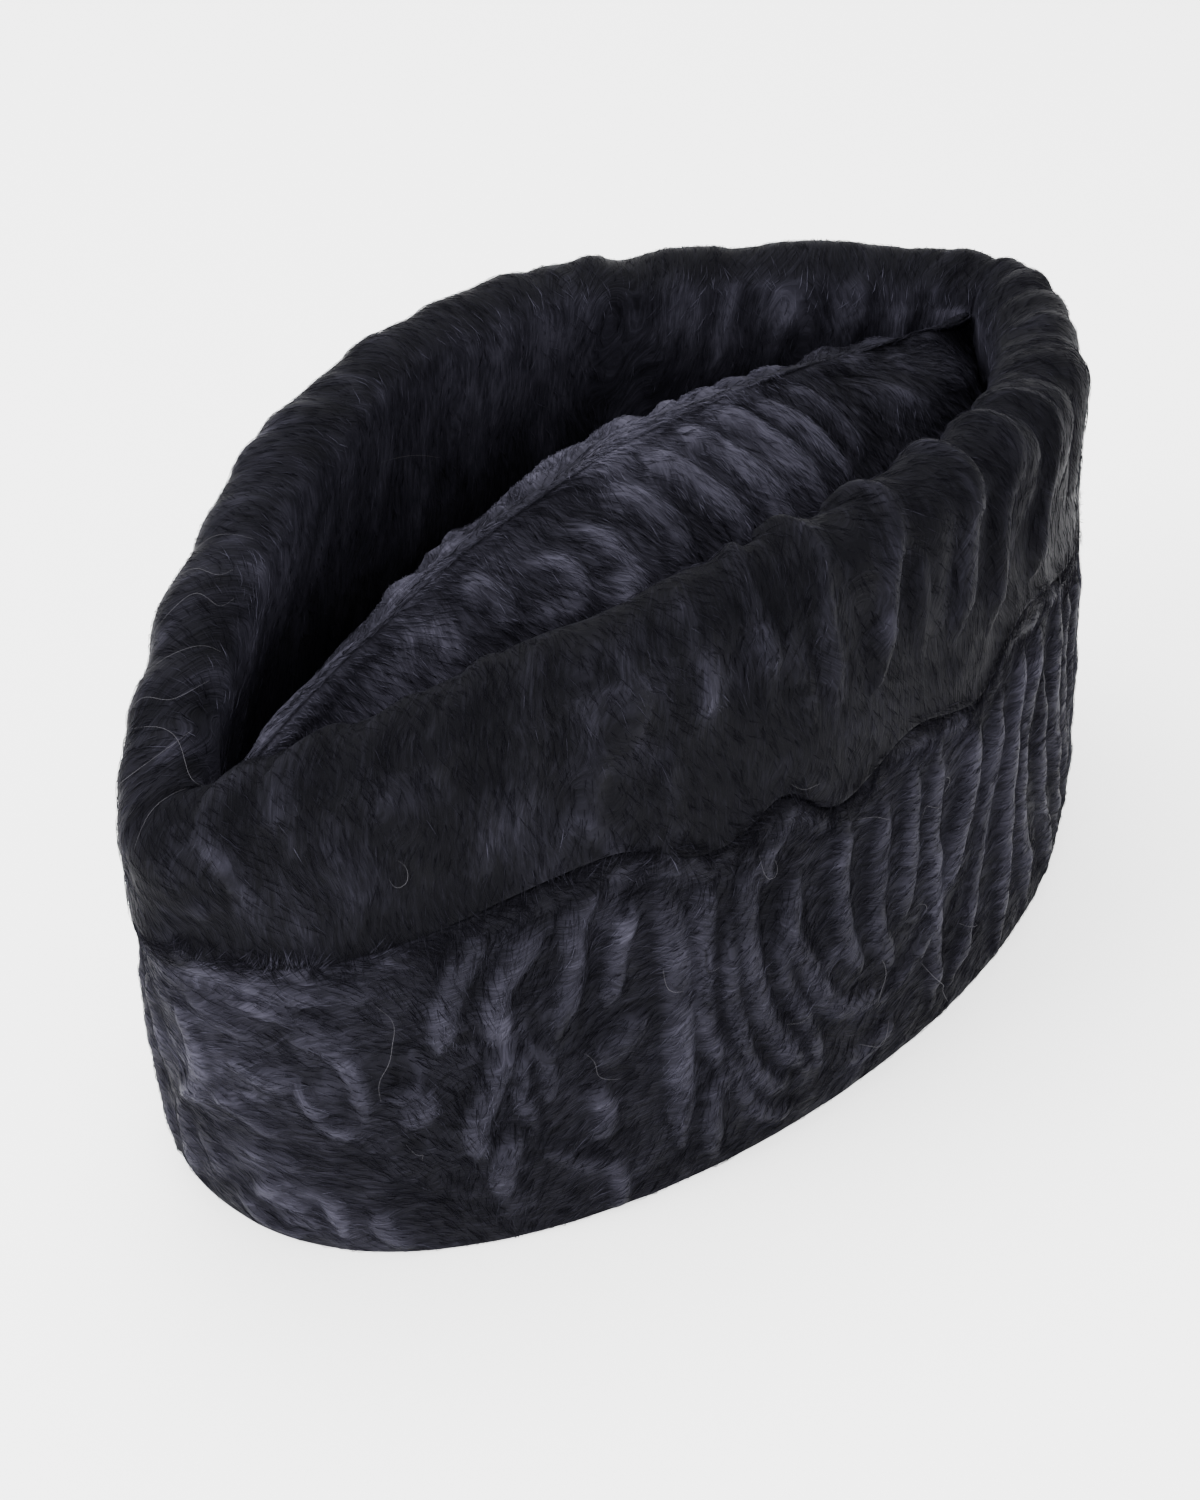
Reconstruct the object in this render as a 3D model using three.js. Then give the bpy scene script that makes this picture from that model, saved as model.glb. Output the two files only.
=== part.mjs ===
// Boat-shaped fur hat of flat curled lambskin, standing open side down.
// A cuff of two fur bands stands round a crown of two fur panels that meet in a ridge along
// the middle. The upper band starts at a wavy furrier's seam, rolls softly over the rim and
// runs down inside to the foot. The rim is low at the near tip and tall at the far end, and
// a deep valley lies on each side of the ridge.
// Millimetres. X runs across the hat, Y along it with the tall end at +Y, Z up.
// The origin is on the surface that the hat stands on, under its middle.
import * as THREE from "three";

// Outline at the foot of the cuff
const footLength = 246;
const footWidth = 141;
const footForward = 2; // how far the foot lies towards the tall end of the rim

// Outline round the outside of the rim
const rimLength = 273;
const rimWidth = 131;

// Height of the rim's crest from the low tip to the tall end
const crestNearTip = 103;
const crestNearThird = 128;
const crestFarThird = 126.5;
const crestFarTip = 114;

// Cuff
const footWall = 5; // both layers of the cuff at the foot
const outerLayer = 0.6; // the outer layer's share of the cuff's thickness below the seam
const rimWall = 17.5; // the roll's thickness at the rim
const rollRise = 8; // the crest above the point where the walls start to roll over
const wallBulge = 2.3;
const footRound = 1.2;
const bandGap = 0.3; // between the two bands, at the seam and below it
const seamRound = 2;
const foldDepth = 2; // the deepest crease in the cuff

// Crown
const crownWall = 4;
const crownClearance = 0.6; // between the crown's skirt and the cuff
const ridgeGap = 0.3; // between the two panels
const shoulderHeight = 50; // where the panels leave the cuff
const ridgeDrop = 9; // the ridge below the rim's crest
const rippleDepth = 2.2;

// How finely the surfaces are divided
const stations = 120;
const panelStations = 40;
const skirtRows = 2;
const slopeRows = 9;

// The outlines are pointed ovals: taper is the power that draws the sides in towards the
// tips, blunt the share of plain oval that rounds them, and skew makes the far end fuller.
const footOutline = {
  length: footLength,
  width: footWidth,
  shift: footForward,
  taper: 0.92,
  blunt: 0,
  skew: 0.04,
};
const rimOutline = {
  length: rimLength,
  width: rimWidth,
  shift: 0,
  taper: 1.84,
  blunt: 0.26,
  skew: 0.13,
};
const tipRatio = 1.17; // a wall is this much thicker along Y at a tip than across the side
const footInside = inset({ ...footOutline }, footWall);
const rimInside = inset({ ...rimOutline, taper: 1.9, blunt: 0 }, rimWall);
const slopePower = 1.5; // section of the crown: 1 is a tent, 2 a round vault

// The furrier's seam. at: share of the way round from the low tip, anticlockwise seen from
// above. height: share of the wall below the roll.
const seam = [
  { at: 0.0, height: 0.8 },
  { at: 0.02, height: 0.75 },
  { at: 0.045, height: 0.7 },
  { at: 0.08, height: 0.69 },
  { at: 0.12, height: 0.71 },
  { at: 0.145, height: 0.7 },
  { at: 0.162, height: 0.64 },
  { at: 0.18, height: 0.65 },
  { at: 0.195, height: 0.69 },
  { at: 0.21, height: 0.61 },
  { at: 0.225, height: 0.63 },
  { at: 0.245, height: 0.68 },
  { at: 0.27, height: 0.65 },
  { at: 0.288, height: 0.65 },
  { at: 0.306, height: 0.73 },
  { at: 0.33, height: 0.73 },
  { at: 0.36, height: 0.7 },
  { at: 0.4, height: 0.68 },
  { at: 0.45, height: 0.71 },
  { at: 0.5, height: 0.72 },
  { at: 0.55, height: 0.7 },
  { at: 0.6, height: 0.66 },
  { at: 0.65, height: 0.69 },
  { at: 0.7, height: 0.65 },
  { at: 0.75, height: 0.7 },
  { at: 0.8, height: 0.67 },
  { at: 0.86, height: 0.7 },
  { at: 0.92, height: 0.69 },
  { at: 0.96, height: 0.75 },
];

// Creases between the ribs of the fur. at: share of the way round, at the seam. lean: how
// far a crease of the wall's full height would drift round. width: share of the way round.
// from, to: shares of the wall's height. depth: share of the deepest crease.
const lowerCreases = [
  { at: 0.07, lean: 0.0, width: 0.018, from: 0.1, to: 0.66, depth: 0.7 },
  { at: 0.098, lean: -0.011, width: 0.016, from: 0.25, to: 0.7, depth: 0.8 },
  { at: 0.125, lean: -0.011, width: 0.016, from: 0.2, to: 0.7, depth: 0.8 },
  { at: 0.157, lean: 0.011, width: 0.016, from: 0.12, to: 0.62, depth: 0.9 },
  { at: 0.18, lean: 0.018, width: 0.016, from: 0.12, to: 0.64, depth: 1.0 },
  { at: 0.203, lean: 0.007, width: 0.016, from: 0.25, to: 0.62, depth: 0.9 },
  { at: 0.226, lean: -0.007, width: 0.016, from: 0.2, to: 0.62, depth: 0.8 },
  { at: 0.262, lean: 0.007, width: 0.016, from: 0.12, to: 0.62, depth: 0.7 },
  { at: 0.287, lean: 0.014, width: 0.016, from: 0.08, to: 0.62, depth: 0.9 },
  { at: 0.312, lean: 0.025, width: 0.016, from: 0.08, to: 0.68, depth: 1.0 },
  { at: 0.337, lean: 0.032, width: 0.016, from: 0.08, to: 0.66, depth: 1.0 },
  { at: 0.362, lean: 0.025, width: 0.016, from: 0.08, to: 0.64, depth: 0.9 },
  { at: 0.39, lean: 0.011, width: 0.018, from: 0.1, to: 0.62, depth: 0.7 },
  { at: 0.43, lean: 0.0, width: 0.018, from: 0.1, to: 0.64, depth: 0.6 },
  { at: 0.58, lean: -0.014, width: 0.018, from: 0.1, to: 0.62, depth: 0.7 },
  { at: 0.61, lean: -0.018, width: 0.016, from: 0.1, to: 0.6, depth: 0.9 },
  { at: 0.64, lean: -0.018, width: 0.016, from: 0.12, to: 0.62, depth: 1.0 },
  { at: 0.668, lean: -0.011, width: 0.016, from: 0.1, to: 0.62, depth: 0.9 },
  { at: 0.7, lean: 0.0, width: 0.016, from: 0.15, to: 0.6, depth: 0.8 },
  { at: 0.738, lean: 0.007, width: 0.016, from: 0.12, to: 0.64, depth: 0.8 },
  { at: 0.774, lean: 0.0, width: 0.016, from: 0.1, to: 0.62, depth: 0.9 },
  { at: 0.81, lean: -0.007, width: 0.016, from: 0.15, to: 0.62, depth: 0.8 },
  { at: 0.85, lean: 0.007, width: 0.016, from: 0.2, to: 0.64, depth: 0.8 },
  { at: 0.9, lean: 0.0, width: 0.018, from: 0.15, to: 0.64, depth: 0.6 },
];
const upperCreases = [
  { at: 0.16, lean: 0.0, width: 0.016, from: 0.8, to: 1.3, depth: 0.6 },
  { at: 0.185, lean: 0.0, width: 0.016, from: 0.78, to: 1.3, depth: 0.8 },
  { at: 0.212, lean: 0.0, width: 0.016, from: 0.75, to: 1.3, depth: 1.0 },
  { at: 0.238, lean: 0.0, width: 0.016, from: 0.8, to: 1.3, depth: 0.8 },
  { at: 0.266, lean: 0.0, width: 0.016, from: 0.8, to: 1.3, depth: 0.9 },
  { at: 0.296, lean: 0.0, width: 0.016, from: 0.8, to: 1.3, depth: 0.9 },
  { at: 0.33, lean: 0.0, width: 0.016, from: 0.8, to: 1.3, depth: 0.8 },
  { at: 0.37, lean: 0.0, width: 0.018, from: 0.78, to: 1.3, depth: 0.7 },
  { at: 0.62, lean: 0.0, width: 0.016, from: 0.8, to: 1.3, depth: 0.7 },
  { at: 0.66, lean: 0.0, width: 0.016, from: 0.8, to: 1.3, depth: 0.9 },
  { at: 0.7, lean: 0.0, width: 0.016, from: 0.78, to: 1.3, depth: 0.8 },
  { at: 0.75, lean: 0.0, width: 0.016, from: 0.8, to: 1.3, depth: 0.7 },
  { at: 0.81, lean: 0.0, width: 0.018, from: 0.8, to: 1.3, depth: 0.6 },
  { at: 0.88, lean: 0.0, width: 0.018, from: 0.8, to: 1.3, depth: 0.6 },
];

// Ripples of the crown's slopes. side: 1 for the panel at +X, -1 for the other. at: share
// of the hat's length at the ridge, from the low tip. lean: how far the ripple drifts along
// by the shoulder. width: share of the length. from, to: shares of the slope. depth: share
// of the deepest ripple.
const crownRipples = [
  { side: 1, at: 0.3, lean: 0.02, width: 0.05, from: 0.45, to: 0.9, depth: 0.6 },
  { side: 1, at: 0.39, lean: 0.03, width: 0.05, from: 0.4, to: 0.92, depth: 0.8 },
  { side: 1, at: 0.47, lean: 0.05, width: 0.05, from: 0.35, to: 0.94, depth: 1.0 },
  { side: 1, at: 0.54, lean: 0.06, width: 0.05, from: 0.35, to: 0.94, depth: 1.0 },
  { side: 1, at: 0.61, lean: 0.06, width: 0.05, from: 0.35, to: 0.92, depth: 0.9 },
  { side: 1, at: 0.69, lean: 0.05, width: 0.06, from: 0.4, to: 0.9, depth: 0.6 },
  { side: -1, at: 0.28, lean: 0.03, width: 0.05, from: 0.4, to: 0.9, depth: 0.7 },
  { side: -1, at: 0.38, lean: 0.04, width: 0.05, from: 0.35, to: 0.92, depth: 0.9 },
  { side: -1, at: 0.48, lean: 0.04, width: 0.05, from: 0.4, to: 0.92, depth: 0.8 },
  { side: -1, at: 0.58, lean: 0.05, width: 0.05, from: 0.35, to: 0.92, depth: 1.0 },
  { side: -1, at: 0.67, lean: 0.04, width: 0.06, from: 0.4, to: 0.9, depth: 0.7 },
];

// The outline drawn in by a wall of the given thickness
function inset(outline, wall) {
  return {
    ...outline,
    length: outline.length - 2 * wall * tipRatio,
    width: outline.width - 2 * wall,
  };
}

// Place on an outline at an angle: -90 degrees is the low tip, 0 the side at +X
function onOutline(outline, angle) {
  const across = Math.cos(angle);
  const along = Math.sin(angle);
  const size = Math.abs(across);
  const drawnIn = (1 - outline.blunt) * size ** outline.taper + outline.blunt * size;
  const fuller = 1 + outline.skew * along;
  return new THREE.Vector2(
    (outline.width / 2) * Math.sign(across) * drawnIn * fuller,
    outline.shift + (outline.length / 2) * along,
  );
}

function between(low, high, share) {
  return low.clone().lerp(high, share);
}

// Height of the rim's crest at a share of its half length, a cubic through the four sizes
function crestAt(share) {
  const places = [-1, -1 / 3, 1 / 3, 1];
  const heights = [crestNearTip, crestNearThird, crestFarThird, crestFarTip];
  return heights.reduce((sum, height, i) => {
    const others = places.filter((_, j) => j !== i);
    const weight = others.reduce((w, p) => (w * (share - p)) / (places[i] - p), 1);
    return sum + height * weight;
  }, 0);
}

function wallTop(angle) {
  return crestAt(Math.sin(angle)) - rollRise;
}

// Plain outer face of the cuff at a share of the wall's height
function outerFace(angle, share) {
  const place = between(onOutline(footOutline, angle), onOutline(rimOutline, angle), share);
  const bulge = wallBulge * Math.cos(angle) ** 2 * 4 * share * (1 - share);
  place.setLength(place.length() + bulge);
  return new THREE.Vector3(place.x, place.y, wallTop(angle) * share);
}

// Inner face of the cuff, or a face inside it by a clearance
function innerFace(angle, share, clearance = 0) {
  const foot = onOutline(inset(footInside, clearance), angle);
  const rim = onOutline(inset(rimInside, clearance), angle);
  const place = between(foot, rim, share);
  return new THREE.Vector3(place.x, place.y, wallTop(angle) * share);
}

// Face between the two layers of the cuff. side: 1 for the outer layer's, -1 for the other.
function layerFace(angle, share, side) {
  const outer = outerFace(angle, share);
  const inner = innerFace(angle, share);
  const half = (side * bandGap) / 2 / outer.distanceTo(inner);
  return outer.lerp(inner, outerLayer - half);
}

// Angles at equal steps of length round the cuff's outer face at mid height
function evenAngles(count) {
  const samples = 40 * count;
  const angles = [];
  const lengths = [];
  let last = null;
  let length = 0;
  for (let i = 0; i <= samples; i += 1) {
    const angle = -Math.PI / 2 + (2 * Math.PI * i) / samples;
    const place = outerFace(angle, 0.5).setZ(0);
    length += last ? place.distanceTo(last) : 0;
    last = place;
    angles.push(angle);
    lengths.push(length);
  }
  const even = [];
  let k = 0;
  for (let i = 0; i <= count; i += 1) {
    const wanted = (length * i) / count;
    while (k < samples - 1 && lengths[k + 1] < wanted) k += 1;
    const part = (wanted - lengths[k]) / (lengths[k + 1] - lengths[k]);
    even.push(angles[k] + part * (angles[k + 1] - angles[k]));
  }
  return even;
}

// Smooth curve through a table that closes on itself
function aroundTable(rows, column, at) {
  const n = rows.length;
  const place = (k) => rows[((k % n) + n) % n].at + Math.floor(k / n);
  const value = (k) => rows[((k % n) + n) % n][column];
  const slope = (k) => (value(k + 1) - value(k - 1)) / (place(k + 1) - place(k - 1));
  let k = n - 1;
  while (k > 0 && rows[k].at > at) k -= 1;
  const step = place(k + 1) - place(k);
  const t = (at - place(k)) / step;
  const ease = t * t * (3 - 2 * t);
  const start = t * (1 - t) * (1 - t) * step * slope(k);
  const end = t * t * (1 - t) * step * slope(k + 1);
  return value(k) + (value(k + 1) - value(k)) * ease + start - end;
}

// Depth of the creases of a table at a place: across is the share of the way round or
// along, up the share of the height, and where says the height at which at is measured
function creaseDepth(rows, across, up, where, wraps) {
  const depths = rows.map((row) => {
    let off = across - row.at - row.lean * (where - up);
    if (wraps) off -= Math.round(off);
    const side = Math.min(1, Math.abs(off) / (row.width / 2));
    const profile = (1 + Math.cos(Math.PI * side)) / 2;
    const fade = (row.to - row.from) / 4;
    const begin = THREE.MathUtils.smoothstep(up, row.from, row.from + fade);
    const finish = 1 - THREE.MathUtils.smoothstep(up, row.to - fade, row.to);
    return row.depth * profile * begin * finish;
  });
  return Math.max(0, ...depths);
}

// Moves a place on the cuff straight in towards the hat's middle plane and centre
function drawIn(place, angle, depth) {
  const inwards = new THREE.Vector3(-Math.cos(angle), -Math.sin(angle), 0);
  return place.addScaledVector(inwards, depth);
}

// A point on the roll. turn: 0 on the outer face, 1 on the inner face.
function onRoll(angle, turn) {
  const outer = outerFace(angle, 1);
  const inner = innerFace(angle, 1);
  const place = outer.clone().lerp(inner, (1 - Math.cos(Math.PI * turn)) / 2);
  place.z += rollRise * Math.sin(Math.PI * turn);
  return place;
}

// Section of the lower band: up its outer face, over its top edge and down its back
function lowerSection(angle, at) {
  const top = wallTop(angle);
  const seamShare = aroundTable(seam, "height", at);
  const edge = seamShare - bandGap / 2 / top;
  const crease = (share) => foldDepth * creaseDepth(lowerCreases, at, share, seamShare, true);
  const outer = (share) => drawIn(outerFace(angle, share), angle, crease(share));
  const roundShare = seamRound / top;
  const footShare = footRound / top;
  const rows = 5;
  const section = [drawIn(outerFace(angle, 0), angle, footRound).setZ(0)];
  for (let i = 0; i <= rows; i += 1) {
    section.push(outer(footShare + ((edge - roundShare - footShare) * i) / rows));
  }
  section.push(drawIn(outer(edge), angle, seamRound));
  section.push(layerFace(angle, edge, 1));
  section.push(layerFace(angle, (2 * seamShare) / 3, 1));
  section.push(layerFace(angle, seamShare / 3, 1));
  section.push(layerFace(angle, 0, 1));
  return section;
}

// Section of the upper band: up its outer face, over the roll, down inside to the foot and
// up again behind the lower band
function upperSection(angle, at) {
  const top = wallTop(angle);
  const seamShare = aroundTable(seam, "height", at);
  const edge = seamShare + bandGap / 2 / top;
  const crease = (share) => foldDepth * creaseDepth(upperCreases, at, share, seamShare, true);
  const outer = (share) => drawIn(outerFace(angle, share), angle, crease(share));
  const full = edge + seamRound / top;
  const rows = 4;
  const section = [drawIn(outer(edge), angle, seamRound)];
  for (let i = 0; i < rows; i += 1) {
    section.push(outer(full + ((1 - full) * i) / rows));
  }
  const turns = 6;
  for (let i = 0; i <= turns; i += 1) {
    const turn = i / turns;
    const place = onRoll(angle, turn);
    const over = crease(1) * Math.max(0, Math.cos((Math.PI * turn) / 2));
    drawIn(place, angle, over * Math.cos((Math.PI * turn) / 2));
    place.z -= over * Math.sin(Math.PI * turn);
    section.push(place);
  }
  section.push(innerFace(angle, (1 + edge) / 2));
  section.push(innerFace(angle, edge));
  section.push(innerFace(angle, edge / 2));
  section.push(innerFace(angle, 0));
  section.push(layerFace(angle, 0, -1));
  section.push(layerFace(angle, seamShare / 3, -1));
  section.push(layerFace(angle, (2 * seamShare) / 3, -1));
  section.push(layerFace(angle, edge, -1));
  return section;
}

// Triangles of a grid of places: rows of equal length, closed across or along on request
function gridTriangles(rowCount, columnCount, closed) {
  const triangles = [];
  const rowsToLink = closed ? rowCount : rowCount - 1;
  const columnsToLink = closed ? columnCount : columnCount - 1;
  for (let i = 0; i < rowsToLink; i += 1) {
    for (let j = 0; j < columnsToLink; j += 1) {
      const a = i * columnCount + j;
      const b = i * columnCount + ((j + 1) % columnCount);
      const c = ((i + 1) % rowCount) * columnCount + ((j + 1) % columnCount);
      const d = ((i + 1) % rowCount) * columnCount + j;
      triangles.push(a, c, b, a, d, c);
    }
  }
  return triangles;
}

function geometryFrom(places, triangles) {
  const geometry = new THREE.BufferGeometry().setFromPoints(places);
  geometry.setIndex(triangles);
  geometry.computeVertexNormals();
  return geometry;
}

// A band of the cuff: its section carried all the way round
function bandGeometry(sectionAt) {
  const angles = evenAngles(stations);
  const sections = [];
  for (let i = 0; i < stations; i += 1) {
    sections.push(sectionAt(angles[i], i / stations));
  }
  const columns = sections[0].length;
  return geometryFrom(sections.flat(), gridTriangles(stations, columns, true));
}

// A point of a crown panel. up: 0 at the foot of the skirt, 1 at the shoulder, 2 at the
// ridge. wall: 0 for the outer face, crownWall for the inner one.
function onPanel(side, angle, up, wall) {
  const clearance = crownClearance + wall;
  const top = wallTop(angle);
  const ridge = crestAt(Math.sin(angle)) - ridgeDrop - wall;
  const slope = Math.max(0, up - 1);
  const turn = (slope * Math.PI) / 2;
  const power = 2 / slopePower;
  const shoulder = shoulderHeight - wall;
  const rise = Math.sin(turn) ** power;
  const spread = Math.max(0, Math.cos(turn)) ** power;
  const height = shoulder * Math.min(1, up) + (ridge - shoulder) * rise;
  const place = innerFace(angle, Math.min(1, height / top), clearance);
  const ripple = rippleAt(side, angle, slope);
  place.x = place.x * spread - ripple * Math.cos(turn);
  place.x = side * (ridgeGap / 2 + Math.max(0, place.x));
  place.z = height - ripple * Math.sin(turn);
  return place;
}

// How deep the crown's ripples are at a place on a slope
function rippleAt(side, angle, slope) {
  const rows = crownRipples.filter((row) => row.side === side);
  const along = (1 + Math.sin(angle)) / 2;
  return rippleDepth * creaseDepth(rows, along, slope, 1, false);
}

// A crown panel: an outer and an inner face, joined round their four edges
function panelGeometry(side) {
  const angles = evenAngles(2 * panelStations).slice(0, panelStations + 1);
  const ups = [];
  for (let i = 0; i < skirtRows; i += 1) ups.push(i / skirtRows);
  for (let i = 0; i <= slopeRows; i += 1) ups.push(1 + i / slopeRows);
  const columns = ups.length;
  const rows = angles.length;
  const face = (wall) => angles.map((a) => ups.map((up) => onPanel(side, a, up, wall))).flat();
  const places = [...face(0), ...face(crownWall)];
  const under = rows * columns;
  const outer = gridTriangles(rows, columns, false);
  const inner = outer.map((k) => k + under).reverse();
  const rim = edgeLoop(rows, columns).flatMap((k, i, loop) => {
    const next = loop[(i + 1) % loop.length];
    return [k, next, next + under, k, next + under, k + under];
  });
  const triangles = [...outer, ...inner, ...rim];
  return geometryFrom(places, side > 0 ? triangles : triangles.reverse());
}

// The outer edge of a grid, once round
function edgeLoop(rows, columns) {
  const loop = [];
  for (let j = 0; j < columns - 1; j += 1) loop.push(j);
  for (let i = 0; i < rows - 1; i += 1) loop.push(i * columns + columns - 1);
  for (let j = columns - 1; j > 0; j -= 1) loop.push((rows - 1) * columns + j);
  for (let i = rows - 1; i > 0; i -= 1) loop.push(i * columns);
  return loop;
}

function furPiece(name, geometry, colour, roughness) {
  const fur = new THREE.MeshStandardMaterial({ color: colour, roughness, metalness: 0 });
  const piece = new THREE.Mesh(geometry, fur);
  piece.name = name;
  return piece;
}

const hat = new THREE.Group();
const cuff = new THREE.Group();
const crown = new THREE.Group();
cuff.add(furPiece("lower_band", bandGeometry(lowerSection), 0x23242c, 0.5));
cuff.add(furPiece("upper_band", bandGeometry(upperSection), 0x1f2028, 0.55));
crown.add(furPiece("crown_panel_right", panelGeometry(1), 0x22232b, 0.5));
crown.add(furPiece("crown_panel_left", panelGeometry(-1), 0x22232b, 0.5));
hat.add(cuff, crown);

export default hat;
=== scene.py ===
# A boat-shaped fur hat of flat curled lambskin, standing on a pale table.
import math

import bpy
import numpy as np
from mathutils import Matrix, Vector
from mathutils.bvhtree import BVHTree


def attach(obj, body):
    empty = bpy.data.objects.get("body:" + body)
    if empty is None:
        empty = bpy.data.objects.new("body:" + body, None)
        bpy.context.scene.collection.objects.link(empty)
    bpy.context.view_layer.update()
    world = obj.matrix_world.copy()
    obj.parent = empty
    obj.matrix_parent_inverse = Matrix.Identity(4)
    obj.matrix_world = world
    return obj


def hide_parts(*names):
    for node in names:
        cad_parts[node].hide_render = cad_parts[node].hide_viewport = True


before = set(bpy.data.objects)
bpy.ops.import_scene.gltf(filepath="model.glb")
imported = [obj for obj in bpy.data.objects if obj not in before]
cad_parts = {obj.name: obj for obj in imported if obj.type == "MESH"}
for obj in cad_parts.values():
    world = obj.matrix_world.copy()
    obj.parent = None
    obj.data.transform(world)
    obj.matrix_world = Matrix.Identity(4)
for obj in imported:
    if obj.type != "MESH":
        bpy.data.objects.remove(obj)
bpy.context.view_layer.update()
MM = 0.001

# Camera
# The photo looks along the hat from beyond its low tip, from the right and from above.
# The lens and distance come from the hat's outline in the photo.
VIEW_AZIMUTH = math.radians(40.79)
VIEW_ELEVATION = math.radians(34.85)
VIEW_DISTANCE = 0.600
VIEW_TARGET = Vector((-0.00342, -0.00762, 0.04866))
LENS_MM = 68.8
SENSOR_MM = 36.0


def new_object(name, data):
    made = bpy.data.objects.new(name, data)
    bpy.context.collection.objects.link(made)
    return made


camera = new_object("camera", bpy.data.cameras.new("camera"))
camera.data.sensor_fit = "VERTICAL"
camera.data.sensor_height = SENSOR_MM
camera.data.lens = LENS_MM
back = Vector((
    math.sin(VIEW_AZIMUTH) * math.cos(VIEW_ELEVATION),
    -math.cos(VIEW_AZIMUTH) * math.cos(VIEW_ELEVATION),
    math.sin(VIEW_ELEVATION),
))
camera.location = VIEW_TARGET + back * VIEW_DISTANCE
camera.rotation_euler = back.to_track_quat("Z", "Y").to_euler()
bpy.context.scene.camera = camera

# Lower band of the cuff
# One strip of pelt from the foot to the furrier's seam. Its wool lies in raised ribs and
# curls, matted flat, which were pressed and steamed into their places on the block.
# Sizes are in mm, as in the solids' source.
FOOT_LENGTH, FOOT_WIDTH, FOOT_FORWARD = 246.0, 141.0, 2.0
FOOT_POWER, FOOT_SKEW = 0.92, 0.04  # how full the foot's plan is, and how far towards the tall end
RIM_LENGTH, RIM_WIDTH, RIM_WALL = 273.0, 131.0, 17.5
RIM_POWER, RIM_FULL, RIM_SKEW = 1.84, 0.26, 0.13
CREST = (103.0, 128.0, 126.5, 114.0)  # rim's heights at four places from the low tip
ROLL_RISE = 8.0
WALL_BULGE = 2.3
HALF_LENGTH, HALF_WIDTH = 130.0, 66.0  # mean plan, from which a point's angle is guessed
ROUND = 640.0  # way round the cuff at mid height
WALL = 116.0  # mean height of the wall up to its roll: the tables' heights are shares of it
ROLL_WAY = 26.0  # way over the roll, from the outer to the inner face
ROLL_SHARE = 0.224  # what the roll takes of the heights in the tables, above 1
# The seam's course. Tables give places in thousandths: of the way round from the low tip, and
# of the wall's height.
SEAM = [
    (0, 800), (20, 750), (45, 700), (80, 690), (120, 710), (145, 700),
    (162, 640), (180, 650), (195, 690), (210, 610), (225, 630), (245, 680),
    (270, 650), (288, 650), (306, 730), (330, 730), (360, 700), (400, 680),
    (450, 710), (500, 720), (550, 700), (600, 660), (650, 690), (700, 650),
    (750, 700), (800, 670), (860, 700), (920, 690), (960, 750), (1000, 800),
]
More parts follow.
